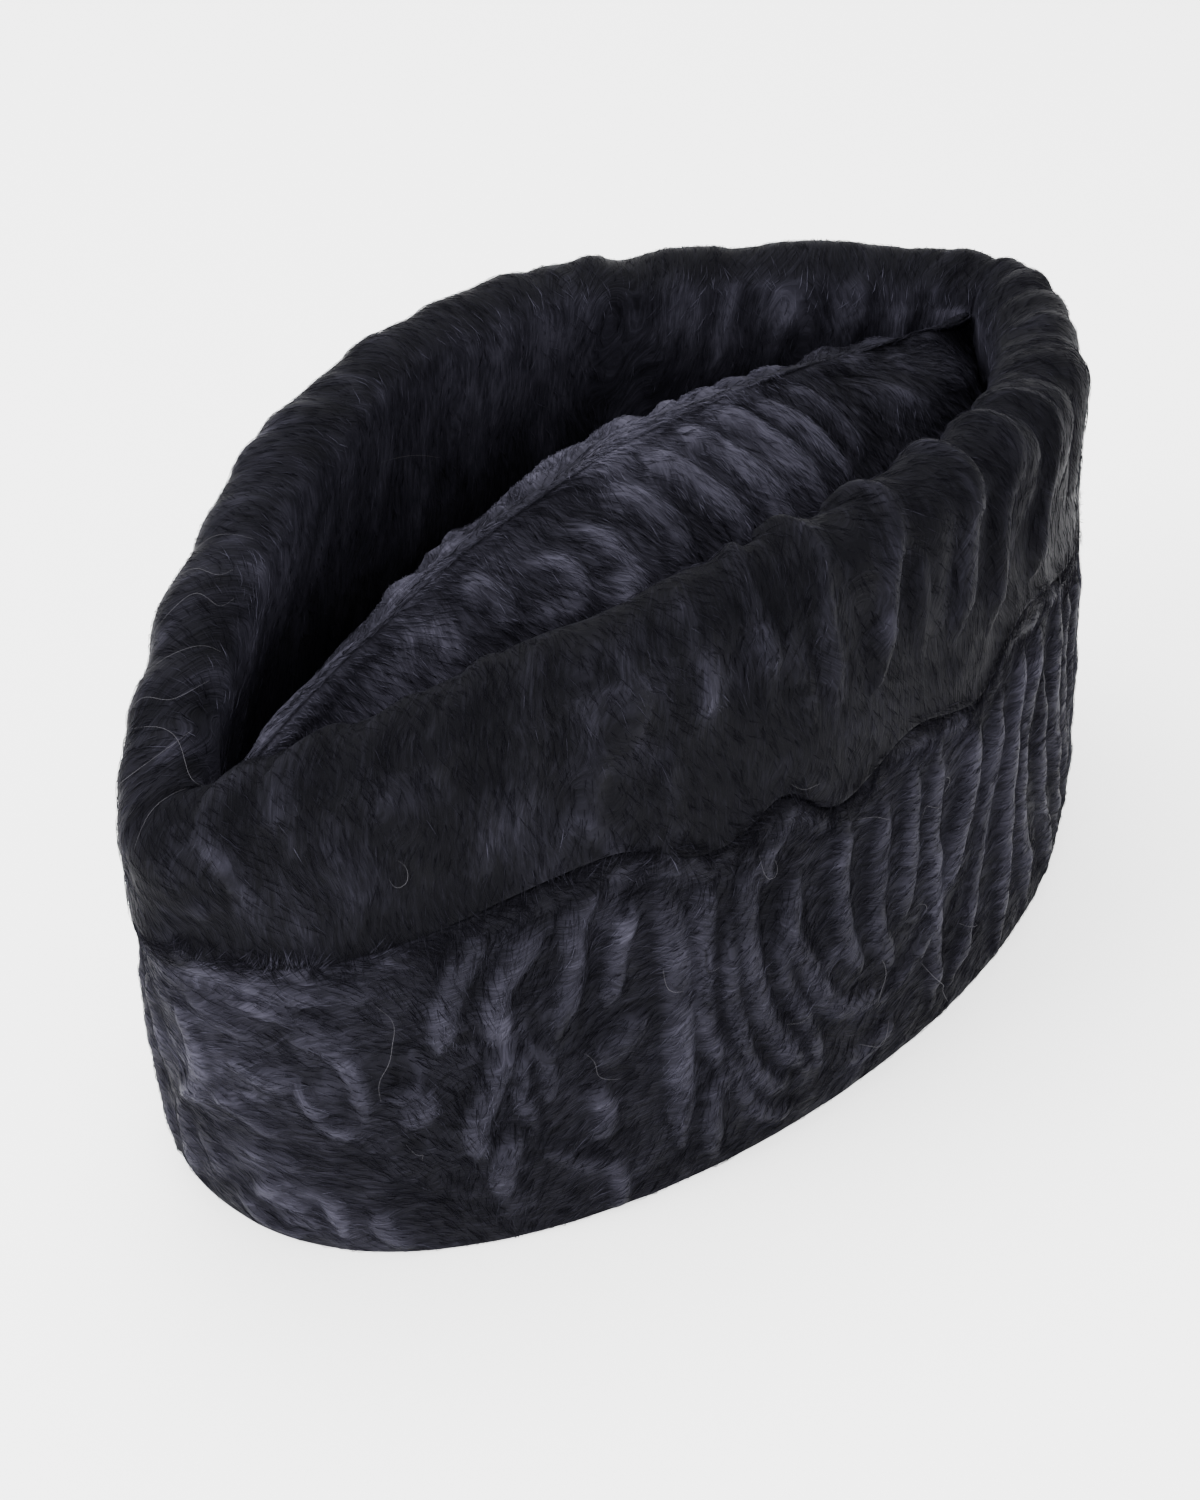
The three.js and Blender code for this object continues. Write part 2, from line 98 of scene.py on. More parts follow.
# Locks of the near side: width and rise in mm, then the places that each one runs through.
LOCKS = [
    (6, 1.3, (4, 830), (22, 730), (44, 640), (58, 630)),
    (5, 1.2, (24, 650), (36, 610), (46, 560), (54, 500)),
    (5.5, 1.5, (36, 560), (46, 520), (51, 440), (50, 350)),
    (4.5, 1.2, (34, 440), (37, 360), (44, 310)),
    (5, 1.2, (42, 700), (50, 660), (62, 600)),
    (6.5, 1.6, (61, 370), (65, 380), (68, 350), (65, 320), (61, 330)),
    (7, 1.5, (58, 670), (68, 680), (78, 650)),
    (7, 1.9, (96, 670), (87, 600), (81, 530), (76, 460)),
    (7, 2.0, (111, 620), (103, 580), (95, 520), (93, 430)),
    (7, 1.8, (96, 420), (88, 350), (80, 280), (79, 210)),
    (5, 1.2, (99, 400), (96, 320), (98, 250)),
    (4.5, 1.1, (102, 420), (106, 360), (104, 290)),
    (6.5, 1.9, (130, 670), (122, 610), (119, 520), (111, 420)),
    (6, 1.7, (140, 600), (134, 540), (131, 490), (128, 440)),
    (7, 1.5, (91, 240), (85, 180), (83, 120)),
    (5, 1.1, (98, 200), (106, 150), (114, 120), (122, 100)),
    (6.5, 1.5, (119, 270), (121, 220), (117, 180)),
    (7, 1.4, (138, 390), (130, 360), (123, 330)),
    (6, 1.2, (122, 100), (121, 50), (118, 10)),
    (5.5, 1.5, (11, 130), (18, 170), (31, 160), (32, 60)),
    (5, 1.3, (6, 100), (10, 50), (20, 40)),
    (4.5, 1.2, (13, 120), (21, 120), (24, 80), (15, 80)),
    (6, 1.3, (45, 110), (44, 70), (49, 30)),
    (5, 1.2, (13, 250), (19, 250), (27, 230)),
    (6, 1.4, (4, 620), (6, 520), (3, 420), (-6, 330)),
    (6, 1.4, (18, 500), (24, 460), (31, 440)),
    (5, 1.2, (8, 400), (14, 360), (24, 310)),
    (5, 1.2, (-3, 230), (1, 170), (-4, 100)),
    (5, 1.1, (10, 660), (18, 610), (26, 560)),
    (8.5, 1.7, (150, 620), (151, 460), (149, 300), (145, 100)),
    (7, 1.6, (164, 610), (161, 480), (159, 340), (163, 220)),
    (7, 1.4, (166, 200), (158, 150), (157, 40)),
    (7.5, 1.8, (180, 600), (177, 480), (178, 360), (184, 240), (198, 120)),
    (6, 1.5, (171, 500), (169, 360), (173, 220), (181, 130), (189, 120)),
    (5.5, 1.3, (166, 280), (170, 150), (180, 70), (190, 50)),
    (6, 1.6, (196, 670), (189, 610), (184, 570), (187, 540)),
    (7, 1.7, (196, 520), (193, 430), (199, 340), (211, 220), (236, 170)),
    (5.5, 1.4, (188, 420), (191, 320), (198, 220), (204, 120)),
    (5, 1.2, (204, 300), (212, 330), (219, 320), (224, 260)),
    (6.5, 1.5, (217, 570), (214, 460), (216, 360), (221, 280)),
    (6.5, 1.5, (234, 560), (231, 440), (231, 330), (238, 240)),
    (6.5, 1.4, (247, 600), (246, 450), (244, 320)),
    (5.5, 1.2, (240, 180), (252, 210), (262, 240)),
    (7, 1.6, (260, 610), (258, 460), (262, 320), (264, 200), (266, 60)),
    (6, 1.3, (214, 100), (228, 70), (240, 100)),
    (7.5, 1.8, (281, 600), (279, 490), (272, 380), (266, 280)),
    (7.5, 1.8, (297, 610), (294, 470), (290, 340), (285, 180), (277, 80)),
    (7.5, 1.9, (312, 670), (311, 570), (306, 460), (308, 250), (314, 30)),
    (7.5, 1.9, (328, 660), (322, 540), (320, 420), (326, 260), (340, 50)),
    (7.5, 1.8, (336, 540), (337, 400), (346, 280), (358, 140), (366, 40)),
    (7.5, 1.8, (350, 680), (349, 520), (354, 400), (367, 240), (380, 80)),
    (7.5, 1.7, (366, 660), (365, 520), (371, 380), (384, 220), (395, 60)),
    (7, 1.6, (383, 640), (381, 500), (388, 340), (399, 180)),
]
CREASE_MM = 0.5  # how far the skin is sunk between the locks
FURROW_MM = 2.2  # depth of the solids' gap at the seam, where the sewn pelts really meet


def crest_height(along):
    """Height of the rim's crest at a share of its half length, in mm."""
    places = (-1.0, -1.0 / 3, 1.0 / 3, 1.0)
    return np.polyval(np.polyfit(places, CREST, 3), along)


def plan(turn, share):
    """Plan of the cuff's outer face at an angle and a share of the wall's height, in mm."""
    c, s = np.abs(np.cos(turn)), np.sin(turn)
    foot_x = FOOT_WIDTH / 2 * c**FOOT_POWER * (1 + FOOT_SKEW * s)
    rim_x = RIM_WIDTH / 2 * ((1 - RIM_FULL) * c**RIM_POWER + RIM_FULL * c) * (1 + RIM_SKEW * s)
    foot_y = FOOT_FORWARD + FOOT_LENGTH / 2 * s
    rim_y = RIM_LENGTH / 2 * s
    x = foot_x + (rim_x - foot_x) * share
    y = foot_y + (rim_y - foot_y) * share
    out = 1 + WALL_BULGE * c * c * 4 * share * (1 - share) / np.hypot(x, y)
    return x * out * np.sign(np.cos(turn)), y * out


def around_table():
    """Angles and the share of the way round that each one stands at, from the low tip."""
    turns = np.linspace(-math.pi / 2, 1.5 * math.pi, 6001)
    x, y = plan(turns, 0.5)
    way = np.concatenate([[0], np.cumsum(np.hypot(np.diff(x), np.diff(y)))])
    return turns, way / way[-1]


TURNS, SHARES = around_table()
GUESSED_TOP = 110.0  # height of the wall's top, before it is worked out for each point
STEP = 0.6  # how much of its error each round of the search takes away


def wrap(points):
    """Share of the way round, and the angle, of points in mm on or in the cuff."""
    share = np.clip(points[:, 2] / GUESSED_TOP, 0, 1)
    turn = np.arctan2(points[:, 1] / HALF_LENGTH, points[:, 0] / HALF_WIDTH)
    for _ in range(12):
        x, y = plan(turn, share)
        off_along = (points[:, 1] - y) / HALF_LENGTH
        off_across = (np.abs(points[:, 0]) - np.abs(x)) / HALF_WIDTH
        across = np.abs(np.cos(turn)) + off_across * STEP
        along = np.sin(turn) + off_along * STEP
        side = np.where(points[:, 0] >= 0, 1.0, -1.0)
        turn = np.arctan2(along, np.maximum(across, 1e-4) * side)
        top = crest_height(np.sin(turn)) - ROLL_RISE
        share = np.clip(points[:, 2] / top, 0, 1)
    around = np.interp((turn + math.pi / 2) % (2 * math.pi) - math.pi / 2, TURNS, SHARES)
    return around, turn


NOISE_ROWS, FIRST_ROW = 64, 16.0


def noise(seed, across, up, cell_across, cell_up):
    """Smooth noise from -1 to 1 over a surface in mm, which closes on itself round the cuff."""
    columns = max(1, round(ROUND / cell_across))
    values = np.random.default_rng(seed).uniform(-1, 1, (columns, NOISE_ROWS))
    i = across / ROUND * columns
    j = up / cell_up + FIRST_ROW
    i0, j0 = np.floor(i).astype(int), np.floor(j).astype(int)
    fi, fj = i - i0, j - j0
    fi = fi**3 * (fi * (fi * 6 - 15) + 10)
    fj = fj**3 * (fj * (fj * 6 - 15) + 10)
    a, b = i0 % columns, (i0 + 1) % columns
    c, d = j0 % NOISE_ROWS, (j0 + 1) % NOISE_ROWS
    low = values[a, c] * (1 - fi) + values[b, c] * fi
    high = values[a, d] * (1 - fi) + values[b, d] * fi
    return low * (1 - fj) + high * fj


def in_shares(places):
    """A table's places as shares of the way round and of the wall's height."""
    return [(at / 1000, up / 1000, *rest) for at, up, *rest in places]


def ramp(value, start, reach):
    """0 up to a start, 1 from a reach beyond it, and even between."""
    return np.clip((value - start) / reach, 0, 1)


def bell(value, width):
    return np.exp(-(value / width)**2)


def by_share(way, shares, values):
    """A value that changes round the cuff, between the shares of the way that it is given at."""
    return np.interp(way / ROUND, shares, values)


def path_through(points):
    """A smooth path through given points: 6 steps from each to the next."""
    p = np.array(points, float)
    ends = np.vstack([2 * p[0] - p[1], p, 2 * p[-1] - p[-2]])
    out = []
    for k in range(len(p) - 1):
        a, b, c, d = ends[k:k + 4]
        for t in np.linspace(0, 1, 6, endpoint=False):
            out.append(0.5 * (2 * b + (c - a) * t + (2 * a - 5 * b + 4 * c - d) * t * t
                              + (3 * b - a - 3 * c + d) * t**3))
    out.append(p[-1])
    return np.array(out)


BROAD_LOCK = 10


def raise_locks(locks, across, up):
    """Height in mm of a set of locks, all in mm, over a surface. Broad locks fade out at their
    ends and narrow ones end round."""
    height = np.zeros(len(across))
    for width, rise, *points in locks:
        path = path_through(points)
        half = width / 2
        low, high = path.min(0) - half, path.max(0) + half
        offset = np.round((across - path[:, 0].mean()) / ROUND) * ROUND
        local = across - offset
        near = np.flatnonzero(
            (local > low[0]) & (local < high[0]) & (up > low[1]) & (up < high[1]))
        if not len(near):
            continue
        q = np.stack([local[near], up[near]], 1)
        bump = np.zeros(len(near))
        taper = 0.12 if width < BROAD_LOCK else 0.4
        for k in range(len(path) - 1):
            a, ab = path[k], path[k + 1] - path[k]
            t = np.clip(((q - a) @ ab) / (ab @ ab), 0, 1)
            gap = np.hypot(*(q - a - t[:, None] * ab).T)
            fall = (k + t) / (len(path) - 1)
            ease = np.clip(np.minimum(fall, 1 - fall) / taper, 0.3, 1)
            off = np.clip(gap / (half * ease**0.5), 0, 1)
            bump = np.maximum(bump, rise * ease**0.5 * np.sqrt(1 - off**2) * (1 - off**4))
        height[near] = np.maximum(height[near], bump)
    return height


def select_only(piece):
    bpy.ops.object.select_all(action="DESELECT")
    piece.select_set(True)
    bpy.context.view_layer.objects.active = piece


def skin_from(node, name, levels):
    """A smooth skin of the same form as a CAD node, made finer by some levels."""
    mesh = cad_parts[node].data.copy()
    mesh.name = name
    mesh.materials.clear()
    skin = new_object(name, mesh)
    select_only(skin)
    bpy.ops.object.mode_set(mode="EDIT")
    bpy.ops.mesh.select_all(action="SELECT")
    bpy.ops.mesh.remove_doubles(threshold=1e-5)
    bpy.ops.mesh.tris_convert_to_quads(face_threshold=math.pi, shape_threshold=math.pi)
    bpy.ops.mesh.select_all(action="DESELECT")
    bpy.ops.mesh.edges_select_sharp(sharpness=math.radians(60))
    bpy.ops.transform.edge_crease(value=1.0)
    bpy.ops.object.mode_set(mode="OBJECT")
    if skin.data.has_custom_normals:
        bpy.ops.mesh.customdata_custom_splitnormals_clear()
    finer = skin.modifiers.new("finer", "SUBSURF")
    finer.levels = finer.render_levels = levels
    bpy.ops.object.modifier_apply(modifier="finer")
    bpy.ops.object.shade_smooth()
    return skin


def read(items, name, width, kind):
    """One property of all the points, corners or faces of a mesh."""
    values = np.empty(len(items) * width, kind)
    items.foreach_get(name, values)
    return values.reshape(-1, width) if width > 1 else values


def points_of(skin):
    return read(skin.data.vertices, "co", 3, np.float32).astype(float)


def normals_of(skin):
    return read(skin.data.vertex_normals, "vector", 3, np.float32).astype(float)


def triangles_of(skin):
    skin.data.calc_loop_triangles()
    return read(skin.data.loop_triangles, "vertices", 3, np.int32)


def keep_tone(skin, values):
    attribute = skin.data.attributes.new("tone", "FLOAT", "POINT")
    attribute.data.foreach_set("value", values.astype(np.float32))


def move_points(skin, points):
    skin.data.vertices.foreach_set("co", points.astype(np.float32).ravel())
    skin.data.update()


def wall_runs(turn):
    """Which way the wall runs at an angle."""
    x0, y0 = plan(turn - 0.01, 0.5)
    x1, y1 = plan(turn + 0.01, 0.5)
    return x1 - x0, y1 - y0


def cuff_places(skin):
    """Where each point of a cuff skin lies, in mm: the way round, the way up the outer face,
    over the roll and down inside, the angle, and how far it faces out."""
    points = points_of(skin) / MM
    normals = normals_of(skin)
    around, turn = wrap(points)
    top = crest_height(np.sin(turn)) - ROLL_RISE
    tangent = np.stack([*wall_runs(turn), np.zeros(len(turn))], 1)
    tangent /= np.linalg.norm(tangent, axis=1)[:, None]
    outwards = np.stack([tangent[:, 1], -tangent[:, 0], np.zeros(len(turn))], 1)
    facing = (normals * outwards).sum(1)
    over = np.arccos(np.clip(facing, -1, 1)) / math.pi
    z = points[:, 2]
    lap = np.where(z < top, z, top)
    lap = np.where((z >= top) & (normals[:, 2] > -0.2), top + ROLL_WAY * over, lap)
    lap = np.where((z < top) & (facing < 0), top + ROLL_WAY + (top - z), lap)
    return points, normals, around * ROUND, lap, top, facing, tangent, turn


def locks_of(table):
    return [(width, rise, *in_shares(path)) for width, rise, *path in table]


def locks_in_mm(locks):
    return [
        (width, rise, *[(at * ROUND, up * WALL) for at, up in path])
        for width, rise, *path in locks
    ]


def height_of_seam(way):
    """The seam's height at a place on the way round, as a share of the wall's."""
    return by_share(way, *zip(*in_shares(SEAM)))


def plain_ribs(seed, first, last, spacing, low, high, width, rise):
    """Ribs that run up and down the wall with a little wander, for where the far side has no
    mirrored locks. First and last are shares of the way round, the rest is in mm."""
    draw = np.random.default_rng(seed)
    ribs = []
    at = first * ROUND
    while at < last * ROUND:
        lean = draw.uniform(-6, 6)
        bend = draw.uniform(-4, 4)
        bottom = low + draw.uniform(0, 10)
        top = high - draw.uniform(0, 5)
        middle = (bottom + top) / 2 + draw.uniform(-8, 8)
        size = draw.uniform(0.8, 1.15)
        if draw.uniform() < 0.35:
            gap = draw.uniform(4, 9)
            ribs.append((width * size, rise * size, (at, top),
                         (at + bend, (top + middle) / 2), (at + lean / 2, middle + gap)))
            ribs.append((width * size, rise * size, (at + lean / 2 + 3, middle - gap / 2),
                         (at + lean + bend, bottom)))
        else:
            ribs.append((width * size, rise * size, (at, top), (at + bend, middle),
                         (at + lean, bottom)))
        at += spacing * draw.uniform(0.82, 1.2)
    return ribs


def seam_form(way):
    """Where the seam is tufted, from 0 to 1, and how far its furrow is closed."""
    tufted = by_share(way, (0, 0.08, 0.12, 0.9, 1.0), (0, 0, 1, 1, 0))
    return tufted, 1 - tufted * (0.45 + 0.5 * noise(17, way, way * 0, 14, 40))


def furrow_fill(points, turns, tangent, share, from_seam):
    """The way out of the wall, and how far in mm a skin comes out along it beside the seam."""
    x, y = plan(turns, np.clip(share, 0, 1))
    outwards = np.stack([tangent[:, 1], -tangent[:, 0]], 1)
    sunk = ((np.stack([x, y], 1) - points[:, :2]) * outwards).sum(1)
    return outwards, np.clip(sunk, 0, FURROW_MM) * np.exp(-(from_seam / 5.0)**4)


lower_skin = skin_from("lower_band", "lower_band_pelt", 3)
points, normals, way, lap, top, facing, tangent, turns = cuff_places(lower_skin)
up = lap / top * WALL
below_seam = height_of_seam(way) * WALL - up
# The far side has the near side's locks, mirrored and a little lower.
near_locks = locks_of(LOCKS)
far_locks = [
    (width, rise, *[(0.99 - at, high * 0.97) for at, high in path])
    for width, rise, *path in near_locks if path[0][0] > 0.075
]
far_ribs = plain_ribs(3, 0.41, 0.59, spacing=8.6, low=4, high=74, width=7.4, rise=1.6)
far_ribs += plain_ribs(4, 0.92, 0.985, spacing=8.6, low=4, high=74, width=7.0, rise=1.4)
lower_lift = raise_locks(locks_in_mm(near_locks + far_locks) + far_ribs, way, up)
mat_noise = noise(5, way, up, 7, 5) * 0.3 + noise(6, way, up, 3.2, 2.6) * 0.2
tufted, closed = seam_form(way)
lumpy = np.maximum(tufted, by_share(way, (0.02, 0.035, 0.12, 0.2), (0, 0.8, 0.8, 0)))
edge_lump = bell(below_seam - 3, 3.0) * (0.9 + 0.7 * noise(7, way, up, 8, 9))
edge_lump *= lumpy
lift = np.maximum(lower_lift, edge_lump * 0.9) + mat_noise - CREASE_MM
calm = (1.4 - lumpy) * bell(below_seam, 4.0)
lift *= 1 - np.clip(calm, 0, 0.9)
outwards, fill = furrow_fill(points, turns, tangent, lap / top, below_seam)
fill *= 0.5 + 0.5 * closed
outer = ramp(facing, 0.2, 0.4) * ramp(points[:, 2], 0, 1.5)
moved = points + normals * (lift * outer)[:, None]
moved[:, :2] += outwards * (fill * ramp(facing, -0.1, 0.3))[:, None]
moved[:, 2] += 1.1 * bell(below_seam, 1.6) * closed * ramp(facing, -0.2, 0.2)
move_points(lower_skin, moved * MM)

# Painted sheen on the wool of the near side: place, half width and half height in mm, and
# strength.
LOWER_PAINTED_SHEEN = [
    (12, 730, 5, 3, 0.5), (22, 690, 5, 3, 0.5), (31, 640, 4, 3, 0.35),
    (995, 480, 7, 6, 0.4), (14, 500, 8, 4, 0.5), (20, 410, 6, 3, 0.6),
    (30, 450, 4, 3, 0.35), (39, 390, 3, 4, 0.5), (44, 320, 5, 2.5, 0.5),
    (46, 470, 4, 3, 0.35), (14, 210, 5, 3, 0.5), (17, 150, 5, 2.5, 0.5),
    (26, 140, 4, 3, 0.45), (33, 90, 3, 6, 0.55), (45, 90, 3, 4, 0.5),
    (49, 50, 4, 3, 0.45), (62, 330, 4, 4, 0.3), (94, 510, 4, 5, 0.5),
    (98, 460, 4, 4, 0.4), (85, 130, 4, 6, 0.4), (119, 70, 3, 5, 0.5),
    (119, 250, 4, 4, 0.5), (11, 260, 5, 3, 0.35), (998, 630, 8, 4, 0.35),
    (68, 680, 5, 3, 0.35), (41, 700, 5, 2, 0.5), (137, 670, 4, 4, 0.45),
    (135, 580, 4, 6, 0.4), (155, 500, 3, 12, 0.3), (150, 280, 6, 10, 0.25),
    (312, 600, 3, 8, 0.3), (326, 600, 3, 7, 0.3), (345, 350, 5, 12, 0.3),
    (300, 450, 3, 14, 0.2), (262, 300, 4, 10, 0.25), (217, 320, 5, 3, 0.3),
]


def painted_light_at(table, way, up):
    """Painted sheen on the wool at points in mm, from a list of places, and painted shade
    where the strength is below 0."""
    glow = np.zeros(len(way))
    for share, height, half_way, half_up, strength in table:
        off = (way - share * ROUND + ROUND / 2) % ROUND - ROUND / 2
        glow += strength * np.exp(-(off / half_way)**2 - ((up - height * WALL) / half_up)**2)
    return glow


def tone_of(lift, glow, way, up, seed, base):
    """Lightness of the wool, from 0 to 1: a painted highlight on the backs of locks, painted
    shade between them, and what glow adds, with a random wander.
    """
    wander = noise(seed, way, up, 28, 22) * 0.1
    wander += noise(seed + 1, way, up, 8, 7) * 0.1
    return np.clip(base + 0.22 * np.clip(lift, -0.8, 2.0) + glow + wander, 0, 1)


# The smooth wool round the low tip gets a broad painted sheen.
painted_tip_sheen = 0.22 * np.exp(-((way / ROUND + 0.5) % 1 - 0.515)**2 / 0.045**2) + 0.06
pale = by_share(way, (0, 0.08, 0.15, 0.3, 0.45, 1), (0.22, 0.23, 0.26, 0.28, 0.26, 0.22))
# Painted sheen from the near side's table.
glow = painted_light_at(in_shares(LOWER_PAINTED_SHEEN), way, up) * 0.55
lower_tone = tone_of(lift, glow, way, up, seed=8, base=pale + 0.03 + painted_tip_sheen)
shadow_edge = 3 + 6 * noise(20, way, way * 0, 13, 40)
lower_tone *= np.clip((below_seam - shadow_edge) / 4 + 0.5, 0.55, 1)
# Painted shade where the skin turns inwards, away from the outer face; the smooth wool high up
# round the low tip keeps its tone.
lower_tone *= np.maximum(np.clip(facing * 2, 0.1, 1), (1 - tufted) * (up > 60))
keep_tone(lower_skin, lower_tone)


class Value:
    """A socket's value, for shader maths written as Python expressions."""

    def __init__(self, shader, socket):
        self.shader, self.socket = shader, socket

    def _maths(self, other, kind, swap=False):
        pair = (other, self) if swap else (self, other)
        return self.shader.node("ShaderNodeMath", {"operation": kind}, {0: pair[0], 1: pair[1]})

    def __add__(self, other):
        return self._maths(other, "ADD")

    def __sub__(self, other):
        return self._maths(other, "SUBTRACT")

    def __mul__(self, other):
        return self._maths(other, "MULTIPLY")

    def __rsub__(self, other):
        return self._maths(other, "SUBTRACT", swap=True)

    __radd__ = __add__
    __rmul__ = __mul__


class Shader:
    """A new material, and one method that adds any node to it."""

    def __init__(self, name):
        self.material = bpy.data.materials.new(name)
        self.material.use_nodes = True
        self.tree = self.material.node_tree
        self.tree.nodes.clear()

    def node(self, kind, settings=None, inputs=None, output=0):
        made = self.tree.nodes.new(kind)
        for key, value in (settings or {}).items():
            if key == "stops":
                elements = made.color_ramp.elements
                while len(elements) < len(value):
                    elements.new(0.5)
                for element, (place, colour) in zip(elements, value):
                    element.position, element.color = place, colour
            else:
                setattr(made, key, value)
        for key, value in (inputs or {}).items():
            if isinstance(value, Value):
                self.tree.links.new(value.socket, made.inputs[key])
            else:
                made.inputs[key].default_value = value
        return Value(self, made.outputs[output]) if len(made.outputs) else made

    def surface(self, settings):
        skin = self.node("ShaderNodeBsdfPrincipled", None, settings)
        self.node("ShaderNodeOutputMaterial", None, {"Surface": skin})
        return self.material


WOOL_GLOSS = {"Specular IOR Level": 0.015, "Specular Tint": (0.84, 0.79, 1.0, 1.0)}
# Lightness of the wool and its colour: blue-black where painted shade darkens the hollows,
# slate with a breath of violet where painted sheen lightens it.
WOOL_COLOURS = [
    (0.0, (0.0040, 0.0040, 0.0050, 1)),
    (0.3, (0.0084, 0.0082, 0.0112, 1)),
    (0.6, (0.0190, 0.0183, 0.0258, 1)),
    (1.0, (0.0500, 0.0480, 0.0665, 1)),
]


def pelt_material(name, streak_across, streak_along, gain):
    """Matted wool: fine streaks along the lie of the hair, lighter on raised locks by a painted
    highlight.
    """
    fur = Shader(name)
    lie = fur.node("ShaderNodeUVMap", {"uv_map": "lie"})

    def streaks(across, along, detail, roughness):
        place = fur.node("ShaderNodeMapping", None, {"Vector": lie, "Scale": (across, along, 1.0)})
        return fur.node("ShaderNodeTexNoise", None, {
            "Vector": place, "Scale": 1.0, "Detail": detail, "Roughness": roughness})

    strands = streaks(streak_across, streak_along, 4.0, 0.6)
    clumps = streaks(streak_across * 0.3, streak_along * 0.5, 3.0, 0.5)
    tone = fur.node("ShaderNodeAttribute", {"attribute_name": "tone"}, output=2)
    shade = tone * gain + strands * 0.85 + clumps * 0.75 - 0.8
    colour = fur.node("ShaderNodeValToRGB", {"stops": WOOL_COLOURS}, {0: shade})
    bump = fur.node("ShaderNodeBump", None, {
        "Height": strands * 0.7 + clumps * 0.8, "Strength": 0.9, "Distance": 0.0006,
    })
    rough = fur.node("ShaderNodeMath", {"operation": "MULTIPLY_ADD", "use_clamp": True},
                     {0: clumps, 1: 0.3, 2: 0.33})
    return fur.surface({
        "Base Color": colour, "Roughness": rough, "Normal": bump,
        "Sheen Weight": 0.012, "Sheen Roughness": 0.35, "Sheen Tint": (0.7, 0.7, 0.95, 1.0),
        **WOOL_GLOSS,
    })


def paint_lie(skin, across, along):
    """The UV map that streaks follow, in mm: across and along the lie of the hair."""
    corners = read(skin.data.loops, "vertex_index", 1, np.int32)
    sides = read(skin.data.polygons, "loop_total", 1, np.int32)
    first = np.repeat(np.cumsum(sides) - sides, sides)
    uv = []
    for value in (across, along):
        at = value[corners]
        uv.append(at + ROUND * np.round((at[first] - at) / ROUND))
    while skin.data.uv_layers:
        skin.data.uv_layers.remove(skin.data.uv_layers[0])
    layer = skin.data.uv_layers.new(name="lie")
    layer.data.foreach_set("uv", np.stack(uv, 1).astype(np.float32).ravel())


# Lightness and roughness of single hairs, from black to slate. Each hair takes one by the tone
# under its root, so the hairs carry its painted sheen and shade too.
HAIR_TONES = [(0.0048, 0.5), (0.0104, 0.45), (0.0225, 0.42), (0.048, 0.4)]


def hair_tones(name):
    """Plain materials for single hairs, each a little bluer than grey."""
    tones = []
    for step, (value, rough) in enumerate(HAIR_TONES):
        hair = Shader(f"{name}_{step}")
        tones.append(hair.surface({
            "Base Color": (value, value * 0.97, value * 1.36, 1), "Roughness": rough,
            **WOOL_GLOSS,
        }))
    return tones


def unit(vectors):
    return vectors / np.maximum(np.linalg.norm(vectors, axis=1), 1e-9)[:, None]


ROOT_DEPTH, CLEAR_OF_SKIN = 0.25, 0.12  # how deep a hair's root is, and how far off it lies


def ground_of(*skins):
    """All the faces of some skins, for hairs to lie on."""
    places, corners, first = [], [], 0
    for skin in skins:
        places.append(points_of(skin))
        corners.append(triangles_of(skin) + first)
        first += len(skin.data.vertices)
    return BVHTree.FromPolygons(np.vstack(places).tolist(), np.vstack(corners).tolist())


